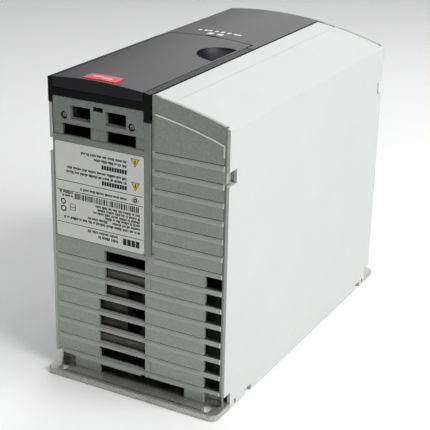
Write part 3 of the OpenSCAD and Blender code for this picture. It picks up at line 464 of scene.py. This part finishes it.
def label_film(name, color):
    """Matt polyester film: a fine speckle, a faint sheen and slightly lifted, soiled edges."""
    s = Surface(name, color, 0.42)
    s.set("Coat Weight", 0.12)
    s.set("Coat Roughness", 0.35)
    tone = s.mix(s.band(s.noise(0.5 * MM, 2), 0.3, 0.7), s.shade(0.95), s.shade(1.03))
    tone = s.mix(s.band(s.noise(20 * MM, 4), 0.35, 0.7, 0, 0.5), tone, s.shade(0.93))
    s.set("Base Color", s.mix(s.math("MULTIPLY", s.edges(0.6 * MM), 0.35), tone, s.shade(0.7)))
    s.set("Roughness", s.band(s.noise(7 * MM, 4), 0.3, 0.7, 0.36, 0.5))
    s.bump(s.noise(11 * MM, 2), 0.05 * MM, 0.3)
    return s.material


def ribbon(name, color, pitch=1.27):
    """Flat cable: round conductors side by side along Z."""
    s = Surface(name, color, 0.45)
    inputs = {"Vector": s.place, "Scale": WAVE_LENGTH / (pitch * MM) / 2, "Distortion": 0.0, "Detail": 0.0}
    wires = s.add("ShaderNodeTexWave", inputs, bands_direction="Y", wave_profile="SIN").outputs["Fac"]
    # Painted shade in the grooves between the conductors.
    tone = s.mix(s.band(wires, 0.0, 0.35), s.shade(0.6), s.color)
    s.set("Base Color", s.mix(s.band(s.noise(6 * MM, 3), 0.4, 0.7, 0, 0.3), tone, s.shade(0.85)))
    s.set("Roughness", s.band(s.noise(3 * MM, 3), 0.3, 0.7, 0.4, 0.55))
    s.bump(wires, 0.25 * MM, 0.7)
    return s.material


def floor_material():
    """Matt white paper."""
    s = Surface("floor_paper", (0.92, 0.925, 0.92), 0.6, specular=0.25)
    tone = s.mix(s.band(s.noise(0.9, 2), 0.3, 0.7), s.shade(0.985), s.shade(1.01))
    s.set("Base Color", tone)
    s.set("Roughness", s.band(s.noise(0.05, 3), 0.3, 0.7, 0.55, 0.65))
    return s.material


def make_materials():
    """One material for each slot of the record, and those of the prints."""
    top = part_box("dc_capacitors")[1].z
    return {
        "back_plate_metal": metal("back_plate_metal", (0.60, 0.60, 0.58), 0.44, (4, 4, 4), 3, cast=0.1,
                                  metallic=0.85, speckle=0.65),
        "heatsink_metal": metal("heatsink_metal", (0.55, 0.56, 0.57), 0.36, (14, 1, 14)),
        "light_housing": moulded("light_housing", (0.53, 0.545, 0.535), 0.5, wear=1.12, grime_and_shade=0.6,
                                 specular=0.28, mottle=0.006),
        # A darker, greener grey than the light housing, though the end panels are the same plastic: partly
        # painted shade.
        "panel_grey": moulded("panel_grey", (0.43, 0.45, 0.42), 0.5, wear=1.15, grime_and_shade=0.3, mottle=0.06,
                              painted_rib_light=True, painted_top_shade=0.24),
        # Darker still, for the label and gland panels: partly painted shade as well.
        "plain_grey": moulded("plain_grey", (0.33, 0.355, 0.33), 0.5, wear=1.2, grime_and_shade=0.3, mottle=0.06,
                              painted_top_shade=0.24),
        "screw_dark": sunk_screw("screw_dark", (0.30, 0.30, 0.29)),
        "guide_brown": guide_look("guide_brown", (0.12, 0.10, 0.085)),
        "steel": metal("steel", (0.58, 0.58, 0.57), 0.3, (6, 6, 6), 1.2),
        "label_film": label_film("label_film", (0.80, 0.805, 0.785)),
        "black_front": moulded("black_front", (0.006, 0.0055, 0.0065), 0.42, 0.5, 0.03, 1.9, 1.1, 0.10,
                               gloss_swing=0.01),
        "cover_charcoal": moulded("cover_charcoal", (0.0075, 0.0078, 0.0115), 0.42, 0.8, 0.11, 1.9, 1.0, 0.27,
                                  dust=0.06, mottle=0.06, gloss_swing=0.01),
        "badge_red": badge_look("badge_red", (0.70, 0.035, 0.05)),
        "fan_black": moulded("fan_black", (0.035, 0.033, 0.032), 0.4, 0.6, 0.02, 1.8, 1.6, 0.4, dust=0.25),
        "module_black": moulded("module_black", (0.03, 0.03, 0.033), 0.4, 0.3, 0.02, 1.6, 1.2, 0.5),
        "board_green": printed_board("board_green", (0.018, 0.12, 0.045)),
        "brass_plated": metal("brass_plated", (0.72, 0.52, 0.24), 0.28, (8, 8, 1), 1.2),
        "capacitor_sleeve": capacitor_sleeve("capacitor_sleeve", (0.02, 0.025, 0.05), top),
        "core_steel": laminated_steel("core_steel", (0.09, 0.09, 0.095)),
        "winding_copper": windings("winding_copper", (0.66, 0.27, 0.10)),
        "film_capacitor": glossy("film_capacitor", (0.72, 0.47, 0.06), 0.32, 0.2),
        "relay_case": glossy("relay_case", (0.035, 0.04, 0.05), 0.34, 0.15),
        "terminal_dark": moulded("terminal_dark", (0.045, 0.045, 0.048), 0.42, 0.3, 0.015, 1.7, 1.3, 0.5),
        "tray_grey": moulded("tray_grey", (0.075, 0.077, 0.08), 0.5, 0.5, 0.03, 1.5, 1.3, 0.4),
        "switch_red": glossy("switch_red", (0.42, 0.02, 0.02), 0.35, 0.2),
        "slider_white": glossy("slider_white", (0.80, 0.80, 0.77), 0.35, 0.1),
        "insulation_film": glossy("insulation_film", (0.82, 0.74, 0.46), 0.3, 0.3),
        "ribbon_grey": ribbon("ribbon_grey", (0.45, 0.46, 0.48)),
        "print_dark": moulded("print_dark", (0.014, 0.014, 0.015), 0.5, 0.2, 0.004, 1.2, 1.0, 0.4),
        "print_yellow": moulded("print_yellow", (0.72, 0.64, 0.02), 0.5, 0.2, 0.004, 1.1, 0.9, 0.4),
        "print_pale": moulded("print_pale", (0.72, 0.73, 0.74), 0.5, 0.2, 0.004, 1.1, 0.9, 0.4),
        "foil": metal("foil", (0.10, 0.085, 0.07), 0.4, (5, 5, 5), 2.0),
        "can_metal": metal("can_metal", (0.62, 0.62, 0.61), 0.32, (5, 5, 5), 2.0),
    }


# ---- what the CAD nodes get ----

# Width of each node's rounded edges, in mm
FINE_BEVEL = {
    "panel_screws": 0.12, "badge": 0.12, "fan_shaft": 0.15, "module_screws": 0.15, "board_standoffs": 0.12,
    "mains_plug_screws": 0.1, "motor_plug_screws": 0.1, "brake_plug_screws": 0.1, "earth_screws": 0.15,
    "switch_slider_1": 0.08, "switch_slider_2": 0.08, "switch_slider_3": 0.08, "switch_block": 0.15,
    "insulation_sheet": 0.0, "rating_label": 0.0, "ribbon_cable": 0.1, "power_board": 0.15,
    "control_board": 0.15, "filter_windings": 0.2, "fan_rotor": 0.18, "gland_panel": 0.25,
    "side_cover": 0.35, "side_wall": 0.35, "back_plate": 0.45, "keypad_cover": 0.3, "terminal_cover": 0.3,
}
USUAL_BEVEL = 0.25
# Nodes whose look differs a little from that of their slot
OWN_LOOKS = {
    "label_panel": "plain_grey", "gland_panel": "plain_grey", "panel_screws": "screw_dark",
    "control_cassette": "black_front",
}


def soften(node, width):
    """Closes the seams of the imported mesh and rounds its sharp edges, as modifiers."""
    if width == 0:
        return
    weld = node.modifiers.new("weld", "WELD")
    weld.merge_threshold = 0.002 * MM
    bevel = node.modifiers.new("bevel", "BEVEL")
    bevel.width = width * MM
    bevel.segments = 2
    bevel.limit_method = "ANGLE"
    bevel.angle_limit = math.radians(32)
    bevel.harden_normals = False
    bevel.miter_outer = "MITER_ARC"
    shade = node.modifiers.new("shade", "WEIGHTED_NORMAL")
    shade.keep_sharp = True


def dress_nodes(materials):
    """Gives each CAD node the material of its slot, or its own look, and rounds its edges."""
    for part in frame["record"]["subparts"]:
        node = NODES[part["node"]]
        node.data.materials.clear()
        look = OWN_LOOKS.get(part["node"], part["material_slot"])
        node.data.materials.append(materials[look])
        soften(node, FINE_BEVEL.get(part["node"], USUAL_BEVEL))


# ---- making pieces ----


def finish_piece(name, mesh, body, material, bevel=0.0):
    """Links a bmesh as a named, flat-shaded piece that rides on a body."""
    bmesh.ops.recalc_face_normals(mesh, faces=mesh.faces[:])
    data = bpy.data.meshes.new(name)
    mesh.to_mesh(data)
    mesh.free()
    for polygon in data.polygons:
        polygon.use_smooth = False
    piece = bpy.data.objects.new(name, data)
    bpy.context.scene.collection.objects.link(piece)
    data.materials.append(material)
    if bevel:
        modifier = piece.modifiers.new("bevel", "BEVEL")
        modifier.width = bevel * MM
        modifier.segments = 2
        modifier.limit_method = "ANGLE"
        modifier.angle_limit = math.radians(40)
    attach(piece, body)


def add_prism(mesh, outline, lift):
    """A closed prism: the outline's points, and the same points moved by lift."""
    low = [mesh.verts.new(p) for p in outline]
    high = [mesh.verts.new(Vector(p) + Vector(lift)) for p in outline]
    count = len(outline)
    mesh.faces.new(low[::-1])
    mesh.faces.new(high)
    for i in range(count):
        mesh.faces.new((low[i], low[(i + 1) % count], high[(i + 1) % count], high[i]))


def add_box(mesh, low, high):
    """A box between two corners."""
    x0, y0, z0 = low
    x1, y1, z1 = high
    add_prism(mesh, [(x0, y0, z0), (x1, y0, z0), (x1, y1, z0), (x0, y1, z0)], (0, 0, z1 - z0))


def ring_points(center, radius, axis, count):
    """Points of a circle round an axis, X, Y or Z."""
    a, b = {"X": ((0, 1, 0), (0, 0, 1)), "Y": ((0, 0, 1), (1, 0, 0)), "Z": ((1, 0, 0), (0, 1, 0))}[axis]
    turns = [math.tau * i / count for i in range(count)]
    c = Vector(center)
    return [c + radius * (math.cos(t) * Vector(a) + math.sin(t) * Vector(b)) for t in turns]


def add_disc(mesh, center, radius, axis, thick, count=24):
    """A round plate or pin that starts at center and is thick along its axis."""
    lift = Vector({"X": (1, 0, 0), "Y": (0, 1, 0), "Z": (0, 0, 1)}[axis]) * thick
    add_prism(mesh, ring_points(center, radius, axis, count), lift)


def add_annulus(mesh, center, outer, inner, axis, thick, count=32):
    """A flat ring with four faces round its section."""
    lift = Vector({"X": (1, 0, 0), "Y": (0, 1, 0), "Z": (0, 0, 1)}[axis]) * thick
    rims = []
    for radius, offset in ((outer, 0 * lift), (outer, lift), (inner, lift), (inner, 0 * lift)):
        points = ring_points(Vector(center) + offset, radius, axis, count)
        rims.append([mesh.verts.new(p) for p in points])
    for a in range(4):
        b = (a + 1) % 4
        for i in range(count):
            j = (i + 1) % count
            mesh.faces.new((rims[a][i], rims[a][j], rims[b][j], rims[b][i]))


# ---- rating label ----

# Thickness of a print, in mm
PRINT_T = 0.03
# Printed rows on the label: first and last place across it, place down it and letter height, in mm
LABEL_ROWS = [
    (19.8, 35.2, 4.4, 1.7), (19.8, 43.4, 7.3, 1.5), (3.2, 61.7, 13.5, 1.5), (3.2, 24.8, 16.1, 1.4),
    (27.5, 42.9, 16.1, 1.4), (3.2, 30.5, 18.5, 1.4), (3.2, 38.5, 20.7, 1.4), (3.2, 35.3, 23.0, 1.4),
    (3.2, 37.1, 25.3, 1.4), (53.8, 63.4, 28.4, 1.3), (53.8, 64.8, 30.8, 1.6), (12.9, 48.7, 34.6, 1.4),
    (12.8, 58.8, 45.2, 1.4), (12.9, 59.2, 48.1, 1.4), (12.9, 38.1, 56.4, 1.4), (12.9, 47.4, 59.2, 1.4),
]
# Bold rows: first and last place across, place down, height and step
LABEL_HEADS = [(3.5, 17.7, 5.6, 4.4, 3.2), (12.6, 32.0, 42.2, 2.8, 1.9), (12.6, 32.8, 52.7, 2.8, 1.9)]
# Places down the label of its rules, and the tips of its two triangles, across and down
LABEL_RULES = [9.7, 32.2, 38.6]
LABEL_TRIANGLES = [(6.3, 41.6), (6.5, 57.1)]
# Half the width of a triangle, and its height
TRIANGLE_HALF = 3.3
TRIANGLE_DEEP = 5.7
# The coded block: first and last place across, place down and height
CODE_BLOCK = (3.9, 52, 29.3, 4.0)
# Outlined marks: centre across and down, radius, corners, line width and turn
LABEL_MARKS = [
    (6.5, 35.3, 2.8, 4, 0.4, 0.0), (6.5, 35.3, 1.4, 12, 0.9, 0.0), (61.2, 19.3, 2.2, 20, 0.8, 0.0),
    (61.2, 24.2, 2.0, 20, 0.8, 0.0), (53.9, 21.2, 3.1, 4, 0.5, math.pi / 4),
]


class LabelPrint:
    """Places prints on the rating label in its own millimetres, across and down as it is read."""

    def __init__(self):
        low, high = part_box("rating_label")
        self.right, self.foot, self.face = high.x, low.z, low.y
        self.mesh = bmesh.new()

    def point(self, across, down):
        """The place in the frame of a point of the label's face."""
        return Vector((self.right - across * MM, self.face, self.foot + down * MM))

    def patch(self, corners):
        """A thin printed patch with the given corners, each across and down."""
        add_prism(self.mesh, [self.point(*c) for c in corners], (0, -PRINT_T * MM, 0))

    def bar(self, a0, a1, down, height):
        """A bar from a0 to a1 across, centred on down."""
        d0, d1 = down - height / 2, down + height / 2
        self.patch([(a0, d0), (a1, d0), (a1, d1), (a0, d1)])

    def outline(self, center, radius, count, line, turn):
        """A closed outline with count corners: a ring, a diamond or a square."""
        def corner(i, r):
            t = turn + math.tau * i / count
            return (center[0] + r * math.cos(t), center[1] + r * math.sin(t))
        for i in range(count):
            inner = radius - line
            self.patch([corner(i, radius), corner(i + 1, radius), corner(i + 1, inner), corner(i, inner)])


def greek_row(art, a0, a1, down, height, width, draw):
    """A row of small strokes in groups, which stands for a line of text without any letters."""
    a = a0
    while a < a1 - width:
        for _ in range(draw.randint(2, 8)):
            if a > a1 - width:
                break
            tall = height * draw.choice((0.72, 0.72, 0.8, 1.0))
            art.bar(a, a + width * draw.uniform(0.65, 0.9), down + (height - tall) / 2, tall)
            a += width
        a += width * 0.8


def print_label(materials):
    """The label's dark print, and the yellow inside its two triangles."""
    draw = random.Random(11)
    art = LabelPrint()
    for a0, a1, down, height in LABEL_ROWS:
        greek_row(art, a0, a1, down, height * 1.3, height * 0.6, draw)
    for a0, a1, down, height, width in LABEL_HEADS:
        a = a0
        while a + width * 0.7 < a1:
            art.bar(a, a + width * 0.84, down, height)
            a += width
    for down in LABEL_RULES:
        art.bar(0.8, 66.2, down, 0.42)
    a, last, down, height = CODE_BLOCK
    while a < last:
        stripe = draw.choice((0.3, 0.3, 0.6, 0.9))
        art.bar(a, a + stripe, down, height)
        a += stripe + draw.choice((0.35, 0.35, 0.7))
    for a, down, radius, count, line, turn in LABEL_MARKS:
        art.outline((a, down), radius, count, line, turn)
    # The line through the square mark
    art.bar(51.6, 56.2, 21.2, 0.5)
    for a, down in LABEL_TRIANGLES:
        base = down + TRIANGLE_DEEP
        corners = [(a, down), (a + TRIANGLE_HALF, base), (a - TRIANGLE_HALF, base)]
        centre = (a, down + 3.8)
        for side in range(3):
            p, q = corners[side], corners[(side + 1) % 3]
            inner = [tuple(c + (m - c) * 0.16 for c, m in zip(v, centre)) for v in (q, p)]
            art.patch([p, q, *inner])
        art.bar(a - 0.35, a + 0.35, down + 3.3, 2.6)
    finish_piece("label_print_dark", art.mesh, "chassis", materials["print_dark"])
    art = LabelPrint()
    for a, down in LABEL_TRIANGLES:
        left, right, shoulder, foot = a - 0.4, a + 0.4, down + 1.3, down + 5.4
        for inside, outside in ((left, a - 2.78), (right, a + 2.78)):
            art.patch([(inside, shoulder), (outside, foot), (inside, foot)])
        art.patch([(left, down + 4.65), (right, down + 4.65), (right, foot), (left, foot)])
        neck = down + 1.95
        art.patch([(a, down + 0.62), (right, shoulder), (right, neck), (left, neck), (left, shoulder)])
    finish_piece("label_print_yellow", art.mesh, "chassis", materials["print_yellow"])


# ---- prints and marks on the covers ----

# Rows of strokes on the terminal cover: place along Y, depth, first and last place along X, and step, in mm
FRONT_ROWS = [(25.8, 4.8, -34, -18, 5.2), (34.2, 3.2, -46, -10, 3.4)]


def add_arched_bar(mesh, circle, x0, x1, y0, y1, proud):
    """A thin printed bar, bent over the arch, between x0..x1 and y0..y1."""
    ux, uz, radius = circle
    steps = max(2, round((x1 - x0) / (2 * MM)))
    xs = [x0 + (x1 - x0) * i / steps for i in range(steps + 1)]

    def height(x, drop):
        return uz + math.sqrt((radius - drop) ** 2 - (x - ux) ** 2)

    rows = []
    for y in (y0, y1):
        rows.append([mesh.verts.new((x, y, height(x, -proud))) for x in xs])
        rows.append([mesh.verts.new((x, y, height(x, 0.05 * MM))) for x in xs])
    for a, b in ((0, 2), (3, 1), (1, 0), (2, 3)):
        for i in range(steps):
            mesh.faces.new((rows[a][i], rows[a][i + 1], rows[b][i + 1], rows[b][i]))
    for end in (0, -1):
        mesh.faces.new([rows[k][end] for k in (0, 1, 3, 2)])


def print_front_marks(materials):
    """Two rows of pale strokes on the terminal cover, with no lettering."""
    circle = arch_circle("terminal_cover")
    draw = random.Random(5)
    mesh = bmesh.new()
    for row in FRONT_ROWS:
        y0, depth, x, last, step = (value * MM for value in row)
        while x + step * 0.6 < last:
            add_arched_bar(mesh, circle, x, x + step * 0.76, y0, y0 + depth, PRINT_T * MM)
            x += step * draw.choice((0.9, 1.0, 1.5))
    finish_piece("front_marks", mesh, "terminal_cover", materials["print_pale"])


# ---- fan ----

# Radius and thickness of the hub's foil label, outer and inner radius of the ring moulded round it, and
# how far out its three round pips are and their radius, in mm
HUB_LABEL_R = 12.5
HUB_LABEL_T = 0.12
HUB_RING = (14.4, 13.2)
PIP_AT = 9.4
PIP_R = 0.9


def dress_fan(materials):
    """A foil label on the hub, with a ring moulded round it and three pips on its face."""
    low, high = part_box("fan_rotor")
    centre = Vector(((low.x + high.x) / 2, low.y, (low.z + high.z) / 2))
    mesh = bmesh.new()
    add_disc(mesh, centre, HUB_LABEL_R * MM, "Y", -HUB_LABEL_T * MM, 64)
    finish_piece("fan_hub_label", mesh, "fan_rotor", materials["foil"])
    mesh = bmesh.new()
    outer, inner = HUB_RING
    add_annulus(mesh, centre, outer * MM, inner * MM, "Y", -0.5 * MM, 64)
    for turn in range(3):
        angle = math.tau * turn / 3 + 0.4
        outwards = Vector((math.cos(angle), 0, math.sin(angle)))
        spot = centre + outwards * PIP_AT * MM - Vector((0, HUB_LABEL_T * MM, 0))
        add_disc(mesh, spot, PIP_R * MM, "Y", -0.05 * MM, 16)
    finish_piece("fan_hub_rim", mesh, "fan_rotor", materials["fan_black"], 0.12)


# ---- terminals ----

# Pitch of the poles of the power, control and relay plugs
POLE = 10 * MM
CONTROL_POLE = 3.5 * MM
RELAY_POLE = 6 * MM


def pole_xs(node, pitch):
    """Places along X of a plug's poles, in a row centred on it."""
    low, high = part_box(node)
    middle = (low.x + high.x) / 2
    count = round((high.x - low.x) / pitch)
    return [middle + (i - (count - 1) / 2) * pitch for i in range(count)]


def add_clamps(node, materials):
    """The steel cage seen in each wire mouth of a power plug, with its pressure plate."""
    low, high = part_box(node)
    mesh = bmesh.new()
    for x in pole_xs(node, POLE):
        back, front = high.y - 11.6 * MM, high.y - 2.2 * MM
        for z0, z1 in ((3.5, 4.1), (10.9, 11.5)):
            add_box(mesh, (x - 3.3 * MM, back, low.z + z0 * MM), (x + 3.3 * MM, front, low.z + z1 * MM))
        for side in (-1, 1):
            x0, x1 = sorted((x + side * 3.55 * MM, x + side * 3.25 * MM))
            add_box(mesh, (x0, back, low.z + 3.5 * MM), (x1, front, low.z + 11.5 * MM))
        plate, half = low.z + 10.0 * MM, 2.7 * MM
        corner = (x + half, front - 1.2 * MM, plate + 0.9 * MM)
        add_box(mesh, (x - half, back + 0.4 * MM, plate), corner)
    finish_piece(node + "_clamps", mesh, node, materials["steel"], 0.08)


def add_levers(node, pitch, hole, materials):
    """The pale release lever over each wire hole of a small plug."""
    low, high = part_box(node)
    half, foot = hole * 0.66 * MM, low.z + (high.z - low.z) * 0.74
    mesh = bmesh.new()
    for x in pole_xs(node, pitch):
        add_box(mesh, (x - half, high.y - 9.3 * MM, foot), (x + half, high.y - 7.2 * MM, high.z - 0.3 * MM))
    finish_piece(node + "_levers", mesh, node, materials["slider_white"], 0.08)


def add_terminal_marks(materials):
    """Dark ticks over the poles of the plugs, on the terminal end panel."""
    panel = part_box("terminal_end_panel")[1].y
    y0, y1 = panel - 0.02 * MM, panel + 0.03 * MM
    mesh = bmesh.new()
    for node in ("mains_plug", "brake_plug", "motor_plug"):
        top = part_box(node)[1].z + 2.6 * MM
        for i, x in enumerate(pole_xs(node, POLE)):
            for k in range(i + 1):
                cx = x + (k - i / 2) * 1.5 * MM
                add_box(mesh, (cx - 0.3 * MM, y0, top), (cx + 0.3 * MM, y1, top + 2.2 * MM))
    finish_piece("terminal_marks", mesh, "chassis", materials["print_dark"])


# ---- small parts on the boards ----


def add_chip(mesh, legs, x, y, z, width, length, height, pitch=1.27):
    """An integrated circuit: its package, with bent legs along its two long sides."""
    add_box(mesh, (x - width / 2, y - length / 2, z + 0.2 * MM), (x + width / 2, y + length / 2, z + height))
    count = int(length / (pitch * MM))
    for i in range(count):
        leg_y = y + (i - (count - 1) / 2) * pitch * MM
        for side in (-1, 1):
            x0, x1 = sorted((x + side * width / 2, x + side * (width / 2 + 1.1 * MM)))
            add_box(legs, (x0, leg_y - 0.22 * MM, z), (x1, leg_y + 0.22 * MM, z + 0.35 * MM))


# Free rectangles on each board, in mm: start and end across, start and end along, and the room above them
CONTROL_SPOTS = [(-58, 1, 68, 84, 6), (-58, -48, -60, 50, 6), (-20, 1, 20, 56, 6)]
POWER_SPOTS = [(-58, 8, -84, -77, 0), (-26, 8, -74, -36, 7), (-24, 8, -30, 56, 7)]
# Shares of the draws that give a chip, and a chip or a can
CHIP_SHARE = 0.22
CAN_SHARE = 0.34


def populate(node, spots, materials, seed):
    """Chips, small cans and surface parts in the free rectangles of a board's upper side."""
    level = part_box(node)[1].z
    draw = random.Random(seed)
    dark, bright, cans = bmesh.new(), bmesh.new(), bmesh.new()
    for x0, x1, y0, y1, tall in spots:
        y = y0 + 2
        while y < y1 - 3:
            x = x0 + 2
            row = 3.0
            while x < x1 - 3:
                kind = draw.random()
                if kind < CHIP_SHARE and x + 8 < x1 and y + 9 < y1:
                    add_chip(dark, bright, (x + 3.5) * MM, (y + 4) * MM, level, 4 * MM, 7.6 * MM, 1.6 * MM)
                    x += 8.5
                    row = max(row, 9.0)
                elif kind < CAN_SHARE and tall and x + 6 < x1 and y + 6 < y1:
                    add_disc(cans, ((x + 3) * MM, (y + 3) * MM, level), 2.5 * MM, "Z", min(tall, 7) * MM, 28)
                    x += 6.5
                    row = max(row, 6.5)
                else:
                    wide, deep = draw.choice(((1.6, 0.8), (0.8, 1.6), (2.2, 1.3)))
                    part = dark if draw.random() < 0.55 else bright
                    top = ((x + wide) * MM, (y + deep) * MM, level + 0.6 * MM)
                    add_box(part, (x * MM, y * MM, level), top)
                    x += draw.uniform(2.6, 4.2)
            y += row + draw.uniform(0.4, 1.4)
    finish_piece(node + "_chips", dark, "chassis", materials["module_black"], 0.06)
    finish_piece(node + "_leads", bright, "chassis", materials["steel"])
    finish_piece(node + "_cans", cans, "chassis", materials["can_metal"], 0.25)


def add_connector_pins(materials):
    """Two rows of gold pins in the keypad connector."""
    low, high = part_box("keypad_connector")
    mesh = bmesh.new()
    for row in (-1, 1):
        for i in range(8):
            x = (low.x + high.x) / 2 + (i - 3.5) * 2.2 * MM
            y = (low.y + high.y) / 2 + row * 1.6 * MM
            foot, top = high.z - 7 * MM, high.z - 1.2 * MM
            add_box(mesh, (x - 0.32 * MM, y - 0.32 * MM, foot), (x + 0.32 * MM, y + 0.32 * MM, top))
    finish_piece("keypad_connector_pins", mesh, "chassis", materials["brass_plated"], 0.1)


# ---- scene ----


def make_floor():
    """A wide sheet under the object."""
    mesh = bmesh.new()
    bmesh.ops.create_grid(mesh, x_segments=8, y_segments=8, size=FLOOR_HALF)
    data = bpy.data.meshes.new("floor")
    mesh.to_mesh(data)
    mesh.free()
    data.materials.append(floor_material())
    floor = bpy.data.objects.new("floor", data)
    bpy.context.scene.collection.objects.link(floor)


def make_lights():
    """A strong light from the right, a weak one from behind and a soft one from above."""
    make_light("key_softbox", (1.5, -0.1, 1.25), (0, 0.05, 0.1), (1.3, 1.3), 40)
    make_light("back_softbox", (-0.7, 1.9, 1.1), (0, 0, 0.15), (2.6, 1.3), 2.4, 50)
    make_light("top_softbox", (0.1, 0.2, 1.9), (0, 0.0, 0.1), (1.8, 1.8), 20)


bpy.context.scene.view_settings.view_transform = "Standard"
make_camera()
make_world()
make_lights()
make_floor()
MATERIALS = make_materials()
dress_nodes(MATERIALS)
print_label(MATERIALS)
print_front_marks(MATERIALS)
dress_fan(MATERIALS)
for plug in ("mains_plug", "motor_plug", "brake_plug"):
    add_clamps(plug, MATERIALS)
for plug in ("control_plug_bus", "control_plug_digital", "control_plug_analog"):
    add_levers(plug, CONTROL_POLE, 1.25, MATERIALS)
for plug in ("relay_plug_1", "relay_plug_2"):
    add_levers(plug, RELAY_POLE, 1.8, MATERIALS)
add_terminal_marks(MATERIALS)
populate("control_board", CONTROL_SPOTS, MATERIALS, 3)
populate("power_board", POWER_SPOTS, MATERIALS, 4)
add_connector_pins(MATERIALS)
